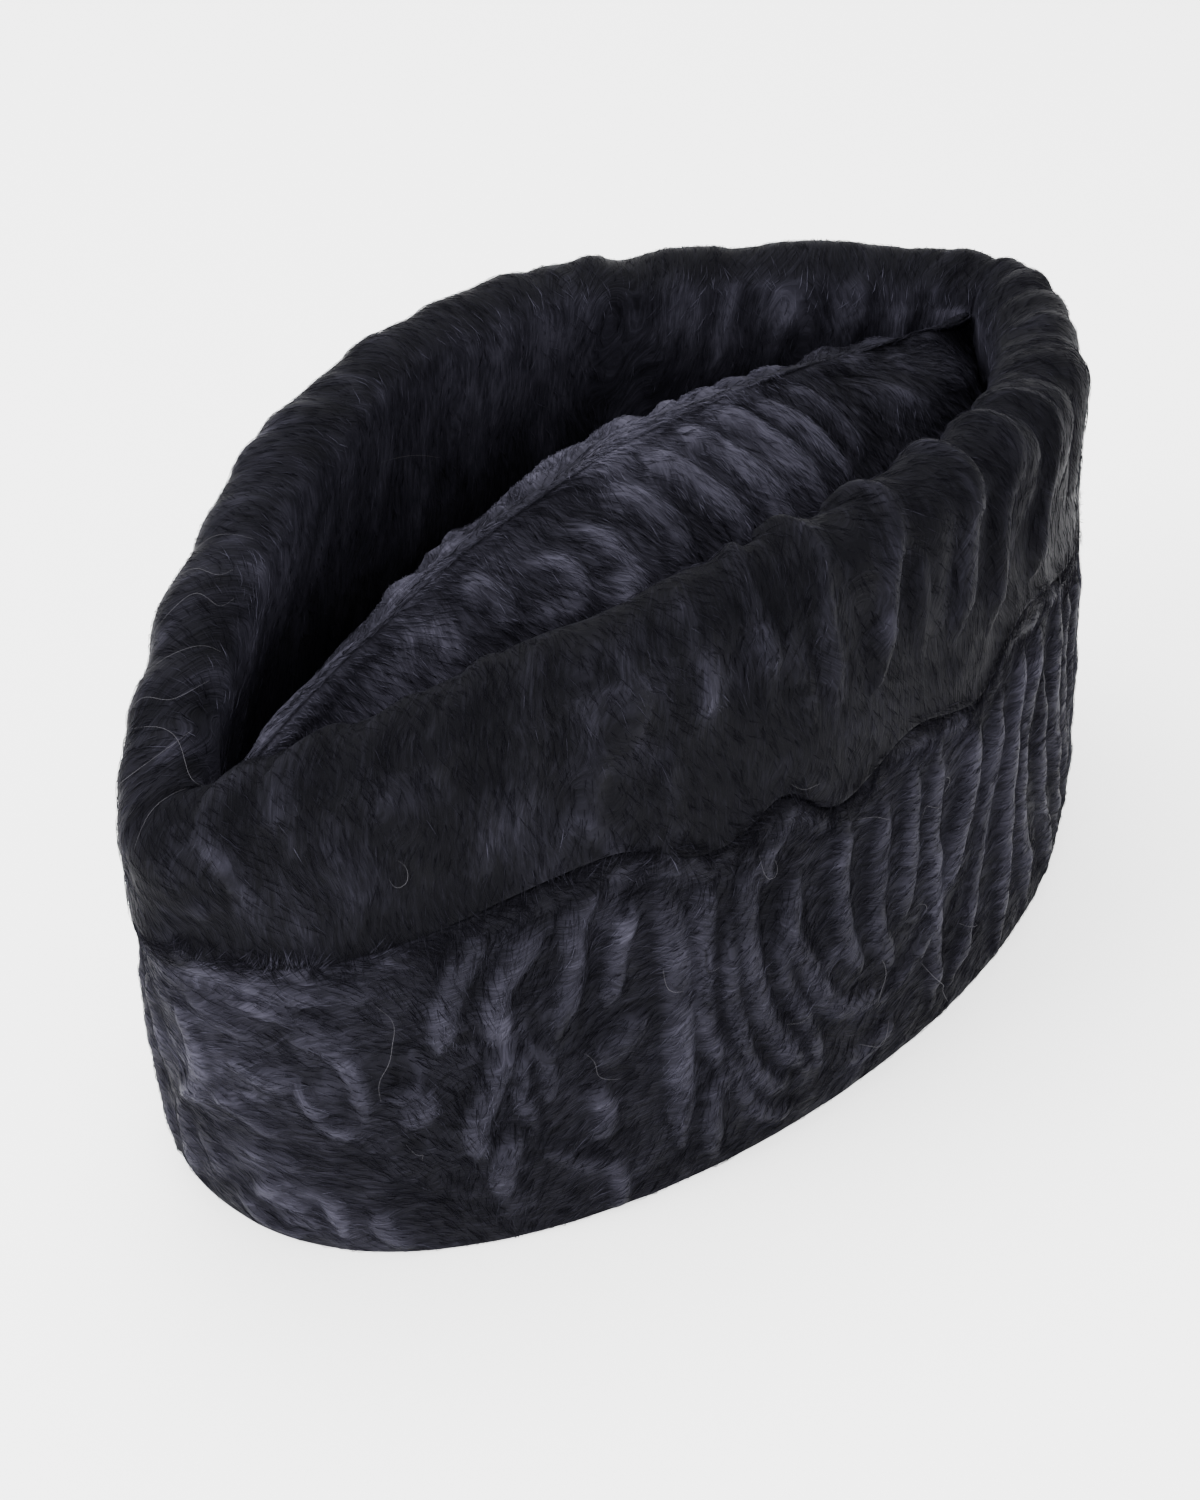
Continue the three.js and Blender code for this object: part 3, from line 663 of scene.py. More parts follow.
def grow_hairs(name, skin, ground, count, seed, weight, flow, tone,
               length, width, stand, uneven, tones):
    """Hairs that lie on a skin. Each is a closed spindle of six faces: its root is in the skin,
    and its middle and its tip lie on it, so that it bends with the curl under it. Weight says
    where they grow, flow which way they lie and tone how light they are, with some unevenness.
    Length, width and how far they stand off are in mm."""
    draw = np.random.default_rng(seed)
    points, normals = points_of(skin) / MM, normals_of(skin)
    corners = triangles_of(skin)
    a, b, c = (points[corners[:, k]] for k in range(3))
    share = np.linalg.norm(np.cross(b - a, c - a), axis=1) * weight[corners].mean(1)
    face = draw.choice(len(corners), count, p=share / share.sum())
    r, q = np.sqrt(draw.random(count)), draw.random(count)
    mix = np.stack([1 - r, r * (1 - q), r * q], 1)

    def on_skin(values):
        return (values[corners[face]] * (mix if values.ndim == 1 else mix[:, :, None])).sum(1)

    root, normal, way = on_skin(points), unit(on_skin(normals)), on_skin(flow)
    side = np.cross(normal, way)
    spread = draw.normal(0, 0.2, count)[:, None]
    way = unit(way * np.cos(spread) + side * np.sin(spread))
    long = length * draw.uniform(0.6, 1.3, count)

    def step_on(start, way, reach):
        found = np.empty((count, 6))
        for k, (x, y, z) in enumerate((start + way * reach[:, None]) * MM):
            place, facing, _, _ = ground.find_nearest((x, y, z))
            found[k] = *place, *facing
        return found[:, :3] / MM, found[:, 3:]

    middle, up = step_on(root, way, long * 0.5)
    onward = unit(way - up * (way * up).sum(1)[:, None])
    tip, tip_up = step_on(middle, onward, long * 0.5)
    high = stand * draw.uniform(0.3, 1.6, count)
    root = root - normal * ROOT_DEPTH
    tip = tip + tip_up * (high * 1.2)[:, None]
    middle = middle + up * (CLEAR_OF_SKIN + high * 0.6)[:, None]
    chord = unit(tip - root)
    side = unit(np.cross(up, chord))
    over = unit(np.cross(chord, side))
    half = (width / 2 * draw.uniform(0.7, 1.3, count))[:, None]
    verts = np.stack([root, middle + side * half, middle - side * half,
                      middle + over * half * 1.2, tip], 1)
    faces = np.array([(0, 1, 3), (0, 3, 2), (0, 2, 1), (4, 3, 1), (4, 2, 3), (4, 1, 2)])
    faces = (faces[None] + 5 * np.arange(count)[:, None, None]).reshape(-1, 3)
    mesh = bpy.data.meshes.new(name)
    mesh.vertices.add(count * 5)
    mesh.vertices.foreach_set("co", (verts * MM).astype(np.float32).ravel())
    mesh.loops.add(len(faces) * 3)
    mesh.loops.foreach_set("vertex_index", faces.astype(np.int32).ravel())
    mesh.polygons.add(len(faces))
    mesh.polygons.foreach_set("loop_start", np.arange(0, len(faces) * 3, 3, dtype=np.int32))
    # Hairs take the lightness of the tone under their roots, painted sheen and shade included.
    level = np.clip((on_skin(tone) + draw.normal(0, uneven, count)) * 3.6 - 0.1, 0, 3)
    mesh.polygons.foreach_set("material_index", np.repeat(level.astype(np.int32), 6))
    mesh.update(calc_edges=True)
    for material in tones:
        mesh.materials.append(material)
    return new_object(name, mesh)


def flow_on_cuff(normals, tangent, angle):
    """Directions at an angle from the way round towards the foot, along a cuff's surface."""
    down = unit(np.cross(tangent, normals))
    return tangent * np.cos(angle)[:, None] + down * np.sin(angle)[:, None]


# The way the lower wool lies, in degrees from the way round towards the foot, at shares of
# the way round.
LOWER_LIE = [
    (0.0, 20), (0.05, 25), (0.085, 90), (0.11, 140), (0.2, 150), (0.3, 165),
    (0.45, 160), (0.7, 150), (0.85, 120), (0.95, 25), (1.0, 20),
]
lie = np.radians(by_share(way, *zip(*LOWER_LIE)))
lie += noise(9, way, up, 24, 18) * 0.5 + noise(10, way, up, 8, 7) * 0.4
near_seam = bell(below_seam, 3.5)
ruffled = near_seam * tufted
lie += ruffled * (noise(16, way, up, 5, 40) * 2.2 - 1.6)
lie += near_seam * (1 - tufted) * (noise(18, way, up, 7, 40) * 1.2 - 1.1)
drift = noise(11, way, up, 30, 20) * 9 + noise(12, way, up, 9, 7) * 2.5
paint_lie(lower_skin, up + drift, way + noise(13, way, up, 20, 16) * 6)
lower_skin.data.materials.append(
    pelt_material("lower_pelt", streak_across=2.6, streak_along=0.3, gain=0.85))
growth = np.clip(facing * 3, 0, 1) * ramp(points[:, 2], 0.8, 2)
growth *= 1 + (5 - 3 * tufted) * near_seam
lower_wool = dict(
    weight=growth, flow=flow_on_cuff(normals_of(lower_skin), tangent, lie), tone=lower_tone)


def belongs(pieces, node):
    """Pieces that move with the hat and dress one of its solids."""
    for piece in pieces:
        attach(piece, "root")
        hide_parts(node)


belongs([lower_skin], "lower_band")

# Upper band of the cuff
# A second strip of smoother, shorter wool from the seam up. It is turned over a soft roll at
# the rim, where its ribs stand up as scallops, and runs down inside to the foot.
RIM_LOCKS = [
    (8, 1.4, (150, 1100), (149, 980), (148, 900)),
    (14, 1.6, (188, 1160), (183, 1080), (176, 990), (173, 900)),
    (14.5, 2.0, (216, 1170), (213, 1090), (212, 1000), (216, 920), (214, 820)),
    (17, 2.1, (249, 1190), (243, 1100), (231, 1030), (233, 950), (229, 840)),
    (18, 2.1, (289, 1190), (281, 1120), (270, 1050), (264, 980), (258, 860)),
    (19, 1.9, (328, 1190), (321, 1110), (310, 1030), (300, 940), (291, 840)),
    (18, 1.8, (362, 1180), (356, 1090), (344, 1000), (331, 880)),
    (17, 1.9, (396, 1180), (392, 1080), (384, 980), (372, 860)),
    (5, 0.9, (190, 1020), (189, 940), (192, 840)),
    (5.5, 0.9, (201, 1020), (202, 920), (206, 800)),
    (5, 1.1, (29, 1050), (34, 990), (39, 890)),
    (12, 2.0, (30, 1160), (33, 1090), (34, 1020)),
    (11, 2.4, (56, 1160), (53, 1090), (53, 1020), (55, 950)),
    (10, 1.6, (79, 1150), (75, 1080), (71, 1000)),
    (9, 1.5, (104, 1150), (99, 1060), (95, 980)),
    (8, 1.4, (124, 1120), (120, 1040), (118, 940), (114, 840)),
    (7, 1.2, (88, 960), (85, 880), (87, 800)),
    (7, 1.3, (106, 920), (103, 840), (99, 770)),
    (6, 1.2, (62, 920), (66, 840), (64, 780)),
    (6, 1.2, (138, 900), (133, 820), (134, 750)),
    (6, 1.2, (160, 840), (156, 770), (160, 700)),
    (4, 0.9, (22, 910), (26, 870)),
]
# Narrow crisp folds on the right of the rim, where the ribs are pinched over the roll.
RIM_EDGES = [
    (6.5, 2.9, (190, 1160), (186, 1080), (187, 1020), (191, 960), (192, 890)),
    (6.5, 3.4, (203, 1160), (211, 1100), (211, 1050), (210, 990), (212, 900), (214, 800)),
    (7, 3.4, (236, 1170), (245, 1110), (242, 1060), (238, 1000), (234, 900), (230, 800)),
    (8, 3.3, (288, 1170), (283, 1100), (277, 1030), (274, 980), (272, 890), (267, 800)),
    (8, 3.0, (326, 1170), (316, 1090), (304, 1020), (296, 960), (292, 860), (288, 780)),
    (7, 2.4, (352, 1160), (344, 1070), (334, 980), (322, 880), (318, 800)),
    (5, 1.6, (165, 1100), (168, 1020), (172, 950), (170, 880)),
    (4.5, 1.3, (200, 1030), (199, 950), (202, 860)),
    (4.5, 1.3, (221, 980), (220, 900), (223, 800)),
    (4.5, 1.4, (252, 980), (250, 900), (251, 800)),
]
# Painted sheen on the upper wool, and painted shade in its hollows where the strength is below 0:
# place, half width and half height in mm, and strength.
UPPER_SHEEN_AND_SHADE = [
    (31, 1020, 2.5, 3, 0.5), (34, 980, 2.5, 4, 0.6), (39, 900, 2.5, 5, 0.55),
    (24, 890, 3.5, 2.5, 0.5), (23, 1100, 5, 3, 0.3), (36, 1100, 5, 3, 0.3),
    (50, 1090, 4, 4, 0.35), (51, 1030, 3, 5, 0.25), (135, 970, 7, 4, 0.22),
    (151, 970, 7, 4, 0.25), (150, 860, 6, 3, 0.22), (171, 960, 4, 6, 0.35),
    (171, 890, 3, 3, 0.4), (187, 900, 4, 9, 0.15), (209, 850, 4, 8, 0.15),
    (233, 890, 4, 3, 0.25), (217, 1100, 3, 6, 0.3), (249, 1120, 3, 6, 0.3),
    (286, 1120, 4, 6, 0.25), (318, 730, 6, 3, 0.3), (336, 730, 4, 5, 0.3),
    (158, 690, 3, 3, 0.4), (137, 710, 3, 3, 0.35), (715, 1200, 7, 7, 0.35),
    (560, 1200, 4, 8, 0.3), (585, 1220, 4, 8, 0.35), (610, 1220, 3, 8, 0.35),
    (630, 1210, 4, 8, 0.3), (900, 1100, 10, 8, 0.2), (860, 1100, 9, 8, 0.2),
    (940, 1090, 9, 6, 0.2),
    (178, 1030, 2.5, 9, -0.4), (164, 980, 2.5, 9, -0.3), (128, 960, 3, 7, -0.3),
    (112, 1020, 3, 7, -0.2), (146, 910, 3, 5, -0.2), (44, 1020, 2.5, 7, -0.35),
    (65, 1040, 2.5, 7, -0.3), (90, 1020, 3, 6, -0.25), (203, 1020, 2.5, 12, -0.3),
    (224, 990, 2.5, 14, -0.3), (257, 1010, 3, 14, -0.3), (287, 930, 3, 10, -0.25),
    (313, 770, 7, 4, -0.3), (297, 790, 4, 6, -0.25), (240, 800, 5, 6, -0.2),
]


def rim_ribs(seed, first, last, spacing, low, high, width, rise, lean):
    """Ribs that cross the roll of the rim from its outer to its inner side. First and last are
    shares of the way round, the rest is in mm."""
    draw = np.random.default_rng(seed)
    ribs = []
    at = first * ROUND
    while at < last * ROUND:
        drift = lean + draw.uniform(-2, 2)
        size = draw.uniform(0.6, 1.4)
        start, stop = low + draw.uniform(-5, 5), high + draw.uniform(-5, 8)
        ribs.append((width * size, rise * size, (at, start),
                     (at + drift * 0.4, (start + stop) / 2), (at + drift, stop)))
        at += spacing * draw.uniform(0.6, 1.5)
    return ribs


def wisps(seed, count, first, last, low, high, strength):
    """Small places at random, between shares of the way round and of the height, with painted
    sheen on the wool, or darker for a strength below 0."""
    draw = np.random.default_rng(seed)
    return [
        (draw.uniform(first, last), draw.uniform(low, high), draw.uniform(1.2, 3.5),
         draw.uniform(2.5, 7.0), strength * draw.uniform(0.4, 1.4))
        for _ in range(count)
    ]


upper_skin = skin_from("upper_band", "upper_band_pelt", 2)
points, normals, way, lap, top, facing, tangent, turns = cuff_places(upper_skin)
over_rim = lap - top + WALL
scallops = (
    rim_ribs(21, 0.42, 0.53, spacing=14, low=102, high=146, width=11, rise=0.9, lean=3)
    + rim_ribs(22, 0.53, 0.77, spacing=21, low=98, high=150, width=13, rise=0.6, lean=-4)
    + rim_ribs(23, 0.77, 0.985, spacing=15, low=104, high=148, width=10, rise=0.7, lean=12)
    + rim_ribs(24, 0.535, 0.65, spacing=12.0, low=138, high=160, width=7.0, rise=1.0, lean=5)
)
folds = raise_locks(locks_in_mm(locks_of(RIM_EDGES)), way, over_rim)
upper_lift = raise_locks(locks_in_mm(locks_of(RIM_LOCKS)) + scallops, way, over_rim)
upper_lift = np.maximum(upper_lift, folds)
soft = noise(25, way, over_rim, 15, 22) * 0.8 + noise(26, way, over_rim, 7, 8) * 0.35
above_seam = lap - height_of_seam(way) * top
lift = (upper_lift + soft - CREASE_MM / 2) * (1 - 0.85 * bell(above_seam, 5.0))
shown = ramp(lap, 40, 10) * ramp(points[:, 2], 0, 3.0)
shown = np.where((lap < 95) & (facing < 0.2), 0, shown)
outwards, fill = furrow_fill(points, turns, tangent, lap / top, above_seam)
fill = fill * (facing > -0.1) * (lap < top)
tufted, closed = seam_form(way)
moved = points + normals * (lift * shown)[:, None]
moved[:, :2] += outwards * fill[:, None]
shut = bell(above_seam, 1.6) * closed * ramp(facing, -0.2, 0.2)
moved[:, 2] -= 0.7 * shut * (lap < top)
move_points(upper_skin, moved * MM)
inside = ramp(over_rim, 134, 10)
mottle = noise(32, way - over_rim * 0.4, over_rim, 8, 12) * 0.2
mottle += noise(33, way + over_rim * 0.5, over_rim, 3.5, 7) * 0.18
# Painted sheen and shade: the table, spots of painted sheen round the rim, and random darker
# spots.
shine = in_shares(UPPER_SHEEN_AND_SHADE)
shine += wisps(34, 45, first=0.80, last=0.99, low=1.0, high=1.2, strength=0.3)
shine += wisps(35, 60, first=0.42, last=0.8, low=1.02, high=1.25, strength=0.2)
shine += wisps(36, 60, first=0.0, last=0.4, low=0.75, high=1.1, strength=0.12)
shine += wisps(37, 60, first=0.0, last=1.0, low=0.8, high=1.1, strength=-0.15)
pale = by_share(way, (0, 0.08, 0.16, 0.2, 0.3, 0.42, 0.5, 1),
                (0.03, 0.04, 0.07, 0.0, -0.07, -0.12, 0.1, 0.2))
# The right of the rim is plainer than the rest: the painted highlight on its backs is weak, so
# they are hardly lighter than its hollows.
plain = (0, 0.16, 0.2, 0.42, 0.5, 1)
backs = by_share(way, plain, (0.5, 0.5, 0.1, 0.05, 0.4, 0.4))
mottle *= by_share(way, plain, (1, 1, 0.5, 0.5, 1, 1))
# Painted sheen and shade, random mottle, and a painted highlight on the crisp folds.
glow = painted_light_at(shine, way, over_rim) + mottle + 0.07 * folds
upper_tone = tone_of(lift * backs, glow, way, over_rim, seed=27, base=pale)
on_roll = bell(over_rim - 130, 9)
at_far_side = ramp(way / ROUND, 0.42, 0.06)
far_roll = 0.35 + 0.35 * at_far_side * np.clip((0.8 - way / ROUND) / 0.06, 0, 1)
# Painted shade where the wool is hidden, and over the top of the roll, most on the far side.
upper_tone = upper_tone * np.where(shown > 0, 1, 0.2) * (1 - far_roll * on_roll)
# Painted light on the inner wall, growing towards the rim.
upper_tone += inside * 0.62 * ramp(points[:, 2], 45, 60)**1.6
keep_tone(upper_skin, upper_tone)
drift = noise(28, way, over_rim, 26, 30) * 12 + noise(29, way, over_rim, 9, 12) * 3
paint_lie(upper_skin, way + drift, over_rim)
upper_skin.data.materials.append(
    pelt_material("upper_pelt", streak_across=2.6, streak_along=0.3, gain=0.8))
lie = np.radians(90) + noise(28, way, over_rim, 26, 30) * 0.8
lie += noise(30, way, over_rim, 9, 9) * 0.35
seam_side = bell(above_seam, 3.5)
lie += seam_side * tufted * noise(19, way, over_rim, 5, 40) * 1.2
near_rim = bell(over_rim - 126, 14)
upper_wool = dict(
    weight=shown * (1 - 0.6 * inside) * (1 + 4 * seam_side + 0.6 * near_rim),
    flow=flow_on_cuff(normals_of(upper_skin), tangent, lie), tone=upper_tone)
belongs([upper_skin], "upper_band")

# Wool of the cuff
# Single hairs, matted flat along the lie of the wool on both bands. Near the seam they lie
# across it from both sides, so that the furrow is soft and broken.
cuff_ground = ground_of(lower_skin, upper_skin)
cuff_hair = hair_tones("cuff_hair")
lower_hairs = grow_hairs(
    "lower_band_hairs", lower_skin, cuff_ground, count=23000, seed=14,
    length=5.0, width=0.15, stand=0.14, uneven=0.15, tones=cuff_hair, **lower_wool)
fine_hairs = grow_hairs(
    "lower_band_fine_hairs", lower_skin, cuff_ground, count=18000, seed=15,
    length=6.0, width=0.11, stand=0.22, uneven=0.17, tones=cuff_hair, **lower_wool)
upper_hairs = grow_hairs(
    "upper_band_hairs", upper_skin, cuff_ground, count=33000, seed=31,
    length=6.0, width=0.125, stand=0.22, uneven=0.22, tones=cuff_hair, **upper_wool)

tuft_side = bell(above_seam, 2.5) * tufted * np.clip(facing * 3, 0, 1) * (lap < top)
tuft_side *= 1.2 + noise(38, way, way * 0, 6, 40)
tuft_lie = lie + noise(38, way, over_rim, 4, 40) * 1.4
seam_tufts = grow_hairs(
    "seam_tufts", upper_skin, cuff_ground, count=3500, seed=39,
    length=4.5, width=0.15, stand=0.8, uneven=0.25, tones=cuff_hair, weight=tuft_side,
    flow=flow_on_cuff(normals_of(upper_skin), tangent, tuft_lie), tone=upper_tone + 0.12)
belongs([lower_hairs, fine_hairs], "lower_band")
belongs([upper_hairs, seam_tufts], "upper_band")

# Stray hairs
# A few long pale hairs that worked loose lie curled on the cuff, most on the near side of
# the lower band and on the left of the rim.
STRAYS = [
    # thickness beside one another, then places
    (0.16, (63, 580), (67, 540), (64, 500), (62, 460), (57, 430), (56, 380)),
    (0.14, (196, 700), (199, 685), (203, 685), (206, 680)),
    (0.16, (221, 570), (226, 565), (230, 555), (234, 540)),
    (0.15, (249, 500), (251, 520), (254, 515), (258, 500)),
    (0.15, (261, 550), (264, 540), (264, 510)),
    (0.15, (251.5, 320), (254, 315), (256, 290)),
    (0.24, (233, 260), (234.5, 235), (233.5, 210), (231, 195), (231, 175)),
    (0.2, (223.5, 100), (228, 85), (232, 78), (235, 90), (238, 110)),
    (0.18, (256, 180), (262, 140), (268, 100), (271, 70), (277, 30)),
    (0.16, (278, 200), (283, 185), (288, 170), (293, 150)),
    (0.15, (339, 890), (343, 885), (348, 875)),
    (0.14, (79.5, 850), (82, 840), (81, 810), (77, 800), (76, 820)),
    (0.15, (59, 270), (61, 245), (63, 250), (62, 230)),
    (0.16, (183, 600), (183.5, 565), (186, 550), (189, 560), (188, 580)),
    (0.17, (147, 470), (147, 440), (149, 425), (152, 415)),
    (0.13, (161, 430), (163, 432), (166, 425)),
    (0.13, (190, 240), (194, 238), (199, 242)),
    (0.13, (118, 360), (121, 340), (120, 310), (124, 290), (128, 280)),
    (0.16, (955, 1160), (965, 1120), (972, 1060), (969, 1020), (972, 970)),
    (0.15, (984, 1190), (978, 1160), (966, 1150), (957, 1120), (953, 1050)),
    (0.14, (935, 1040), (932, 1100), (925, 1140), (922, 1180)),
    (0.13, (918, 1020), (915, 1080), (908, 1110), (912, 1150), (905, 1170)),
    (0.13, (904, 1050), (899, 1090), (903, 1130), (896, 1150)),
    (0.12, (895, 1020), (889, 1080), (884, 1100), (880, 1160)),
    (0.13, (948, 1020), (944, 1070), (949, 1110), (941, 1150), (936, 1170)),
    (0.13, (6, 1020), (10, 1080), (17, 1100), (20, 1140)),
    (0.12, (760, 1420), (772, 1380), (786, 1350), (797, 1330)),
    (0.13, (560, 500), (566, 470), (571, 420)),
    (0.14, (660, 300), (668, 270), (669, 220)),
    (0.13, (450, 350), (456, 380), (463, 360)),
    (0.14, (820, 420), (824, 360), (821, 300)),
]
STRAY_RADIUS = 0.16  # radius in mm of a hair of thickness 1
STRAY_CLEAR, STRAY_ARCH = 0.35, 0.9  # how far in mm its ends stand off, and its middle more


def cuff_spot(share, height):
    """A place in mm on the outer face, or over the roll for a height above 1."""
    turn = np.interp(share % 1, SHARES, TURNS)
    x, y = plan(turn, min(height, 1.0))
    top = crest_height(np.sin(turn)) - ROLL_RISE
    along, across = wall_runs(turn)
    outwards = np.array([across, -along, 0.0])
    outwards /= np.linalg.norm(outwards)
    over = math.pi * min(max((height - 1.0) / ROLL_SHARE, 0.0), 1.0)
    below = max(height - (1 + ROLL_SHARE), 0.0) * WALL
    inwards = RIM_WALL / 2 * (1 - math.cos(over))
    place = np.array([x, y, top * min(height, 1.0) + ROLL_RISE * math.sin(over) - below])
    return place - outwards * inwards


curves = bpy.data.curves.new("stray_hairs", "CURVE")
curves.dimensions = "3D"
curves.bevel_depth = 1.0
curves.bevel_resolution = 0
curves.use_fill_caps = True
for thickness, *spots in STRAYS:
    path = path_through(in_shares(spots))
    arches = np.sin(np.linspace(0, math.pi, len(path)))
    places = np.empty((len(path), 3))
    for k, (share, height) in enumerate(path):
        spot = cuff_spot(share, height) * MM
        place, facing_way, _, _ = cuff_ground.find_nearest(spot.tolist())
        clear = STRAY_CLEAR + STRAY_ARCH * arches[k]
        places[k] = np.array(place) + np.array(facing_way) * clear * MM
    for _ in range(12):
        places[1:-1] = (places[:-2] + 2 * places[1:-1] + places[2:]) / 4
    strand = curves.splines.new("POLY")
    strand.points.add(len(path) - 1)
    for point, place, arch in zip(strand.points, places, arches):
        point.co = (*place, 1)
        point.radius = thickness * STRAY_RADIUS * MM * (0.5 + 0.5 * arch)
strays = new_object("stray_hairs", curves)
select_only(strays)
bpy.ops.object.convert(target="MESH")
strays = bpy.context.active_object
loose = Shader("stray_hair")
strays.data.materials.append(loose.surface({
    "Base Color": (0.1, 0.097, 0.11, 1), "Roughness": 0.5, "Specular IOR Level": 0.2,
}))
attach(strays, "root")

# Crown panels
# Two half-moon pieces of pelt, sewn together along the ridge. Their wool lies in slanted
# ripples on the slopes, and their skirts go down inside the cuff.
RIPPLES = [
    # width and rise in mm, then places as mm along the hat and mm down the slope from the ridge
    (8, 2.2, (-3, 6), (2, 12), (6, 20), (7, 29)),
    (7, 2.4, (8, 4), (14, 10), (18, 19), (19, 29)),
    (7.5, 2.4, (19, 3), (26, 9), (30, 18), (31, 28)),
    (7, 2.2, (31, 4), (37, 11), (41, 20), (42, 28)),
    (7, 1.8, (44, 5), (49, 13), (52, 22)),
    (8, 1.9, (-16, 8), (-10, 13), (-8, 20), (-12, 27)),
    (7, 1.8, (-28, 9), (-23, 15), (-23, 22), (-28, 26)),
    (6, 1.8, (-40, 10), (-35, 14), (-36, 20), (-42, 21), (-44, 16)),
    (7, 1.5, (-56, 6), (-50, 11), (-52, 17)),
    (8, 1.5, (-72, 4), (-65, 9), (-63, 16)),
    (12, 1.6, (-30, -2), (-12, 0), (6, -2)),
    (11, 1.5, (14, -3), (30, 0), (42, -2)),
    (12, 1.5, (52, -2), (66, 1), (82, -1)),
    (9, 1.3, (62, 9), (70, 15), (76, 20)),
    (9, 1.2, (80, 6), (87, 12), (92, 18)),
    (10, 1.3, (-52, -2), (-66, 0), (-82, -1)),
]
# Painted sheen on the crown: mm along the hat and down the slope, half widths in mm, and strength.
CROWN_PAINTED_SHEEN = [
    (2, 14, 3, 8, 0.25), (15, 14, 3, 8, 0.4), (27, 13, 3, 8, 0.45), (38, 14, 3, 8, 0.3),
    (52, 12, 4, 6, 0.3), (-10, 12, 4, 4, 0.25), (-24, 14, 3, 4, 0.3), (-36, 13, 4, 3, 0.3),
    (-4, 2, 8, 3, 0.3), (18, 1, 8, 3, 0.3), (-50, 5, 6, 4, 0.25), (-75, 5, 8, 5, 0.25),
    (70, 2, 10, 3, 0.2),
]
CROWN_HALF_LENGTH, RIDGE_BELOW_RIM = 133.0, 9.0  # in mm


def crown_skin(node, name, side, seed):
    """One half of the crown, and what its hairs need."""
    skin = skin_from(node, f"{name}_pelt", 2)
    points, normals = points_of(skin) / MM, normals_of(skin)
    x, y, z = points.T
    ridge = crest_height(y / CROWN_HALF_LENGTH) - RIDGE_BELOW_RIM
    down = np.hypot(np.abs(x), ridge - z)
    along = y - (0 if side > 0 else 6)
    lumps = noise(42, y, y * 0, 12, 18)
    lift = raise_locks(RIPPLES, along, down)
    lift += noise(41, y, x, 26, 18) * 1.2
    lift += noise(seed, along, down, 12, 9) * 0.5
    lift += noise(seed + 1, along, down, 6, 5) * 0.3
    lift += lumps * 1.3 * bell(x, 8)
    shown = ramp(normals[:, 0] * side * 0.5 + normals[:, 2], 0.1, 0.3) * ramp(z, 55, 10)
    at_ridge = np.clip(1 - np.abs(x) / 3.0, 0, 1)
    on_ridge = 1.6 + noise(41, y, y * 0, 26, 18) * 0.8
    on_ridge += lumps * 1.2
    raised = (lift - 0.3) * (1 - at_ridge) + on_ridge * at_ridge
    # Towards the tall end the ridge is lower and its sides are fuller, so the crown is blunt.
    raised += 6.0 * (ramp(y, 55, 35) * ramp(down, 0, 14)) - 4.0 * ramp(y, 50, 45) * bell(x, 9)
    moved = points + normals * (raised * shown)[:, None]
    moved[:, 0] -= side * 0.4 * bell(x, 1.5)
    move_points(skin, moved * MM)
    # Painted sheen, a painted highlight on raised wool, and painted shade where the panel faces
    # away or hangs inside the cuff.
    glow = np.zeros(len(points))
    for at, low, half_along, half_down, strength in CROWN_PAINTED_SHEEN:
        glow += strength * np.exp(-((along - at) / half_along)**2 - ((down - low) / half_down)**2)
    pale = np.interp(y, (-60, -10, 50, 80), (0.66, 0.52, 0.4, 0.34))
    tone = tone_of(lift * 0.8, glow * 0.6, along, down, seed + 2, pale) * np.clip(shown, 0.2, 1)
    keep_tone(skin, tone)
    wander = noise(seed + 4, along, down, 22, 18)
    paint_lie(skin, along + (wander * 8 - down * 0.5), down)
    skin.data.materials.append(crown_pelt)
    angle = 0.95 + wander * 0.8
    angle += noise(seed + 5, along, down, 8, 7) * 0.4
    facing = normals_of(skin)
    ahead = unit(np.array([0.0, 1, 0]) - facing * facing[:, 1:2])
    # The wool of both panels slopes down from the ridge, and crosses it from left to right.
    across = np.where((side > 0) | ((x >= -6) & (x < 6)), 1.0, -1.0)
    slope = np.cross(ahead, facing) * across[:, None]
    flow = ahead * np.cos(angle)[:, None] + slope * np.sin(angle)[:, None]
    return skin, dict(weight=shown * (z > 62) * (1 + at_ridge), flow=flow, tone=tone)


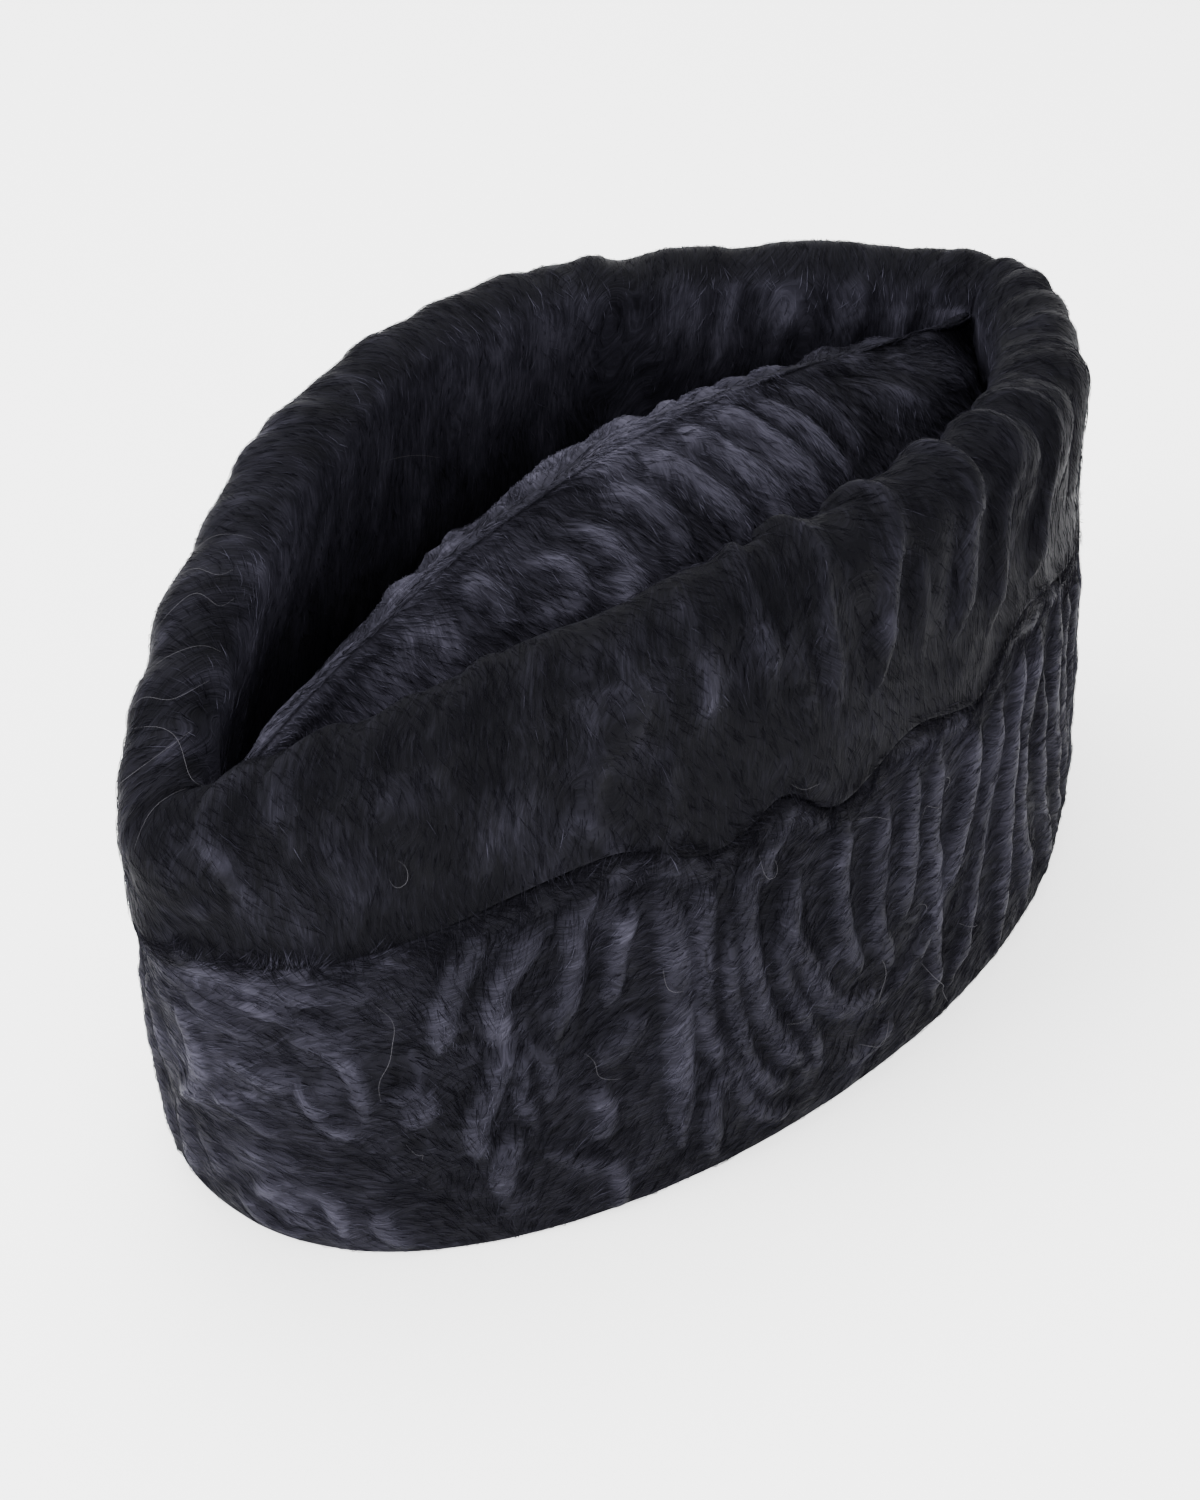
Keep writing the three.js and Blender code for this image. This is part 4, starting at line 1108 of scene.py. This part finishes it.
crown_pelt = pelt_material("crown_pelt", streak_across=2.4, streak_along=0.3, gain=0.85)
crown_hair = hair_tones("crown_hair")
right_skin, right_wool = crown_skin("crown_panel_right", "crown_right", 1, 43)
left_skin, left_wool = crown_skin("crown_panel_left", "crown_left", -1, 53)
crown_ground = ground_of(right_skin, left_skin)
for node, name, skin, wool, seed in (
        ("crown_panel_right", "crown_right_hairs", right_skin, right_wool, 61),
        ("crown_panel_left", "crown_left_hairs", left_skin, left_wool, 62)):
    hairs = grow_hairs(
        name, skin, crown_ground, count=14500, seed=seed,
        length=6.0, width=0.135, stand=0.22, uneven=0.16, tones=crown_hair, **wool)
    belongs([skin, hairs], node)

# Table and light
# A pale seamless table of matt paper, lit so evenly that it hardly takes a shadow. One broad
# soft light is over the hat, one before it and a weak one to its right.
TABLE_SIZE, PAPER_GLOW, ROOM_LIGHT = 80, 1.8, 1.4
bpy.ops.mesh.primitive_plane_add(size=TABLE_SIZE, location=(0, 0, 0))
table = bpy.context.active_object
table.name = "table"
paper = Shader("table_paper")
grain = paper.node("ShaderNodeTexNoise", None, {"Scale": 60.0, "Detail": 3.0})
white = paper.node("ShaderNodeValToRGB", {
    "stops": [(0.0, (0.95, 0.95, 0.95, 1)), (1.0, (0.97, 0.97, 0.97, 1))],
}, {0: grain})
table.data.materials.append(paper.surface({
    "Base Color": white, "Roughness": 0.9,
    "Emission Color": (1, 1, 1, 1), "Emission Strength": PAPER_GLOW,
}))
LIT_SPOT = Vector((0, 0, 0.06))


def soft_light(name, place, size, power):
    data = bpy.data.lights.new(name, "AREA")
    data.shape = "DISK"
    data.size = size
    data.energy = power
    light = new_object(name, data)
    light.location = place
    light.rotation_euler = (Vector(place) - LIT_SPOT).to_track_quat("Z", "Y").to_euler()


soft_light("top_light", (-0.3, 0.1, 1.4), size=1.0, power=30)
soft_light("front_light", (-0.45, -1.25, 1.0), size=0.9, power=34)
soft_light("near_light", (1.2, -0.5, 1.0), size=0.9, power=6)
world = bpy.data.worlds.new("studio")
bpy.context.scene.world = world
world.use_nodes = True
room = world.node_tree.nodes["Background"].inputs
room["Color"].default_value = (1, 1, 1, 1)
room["Strength"].default_value = ROOM_LIGHT
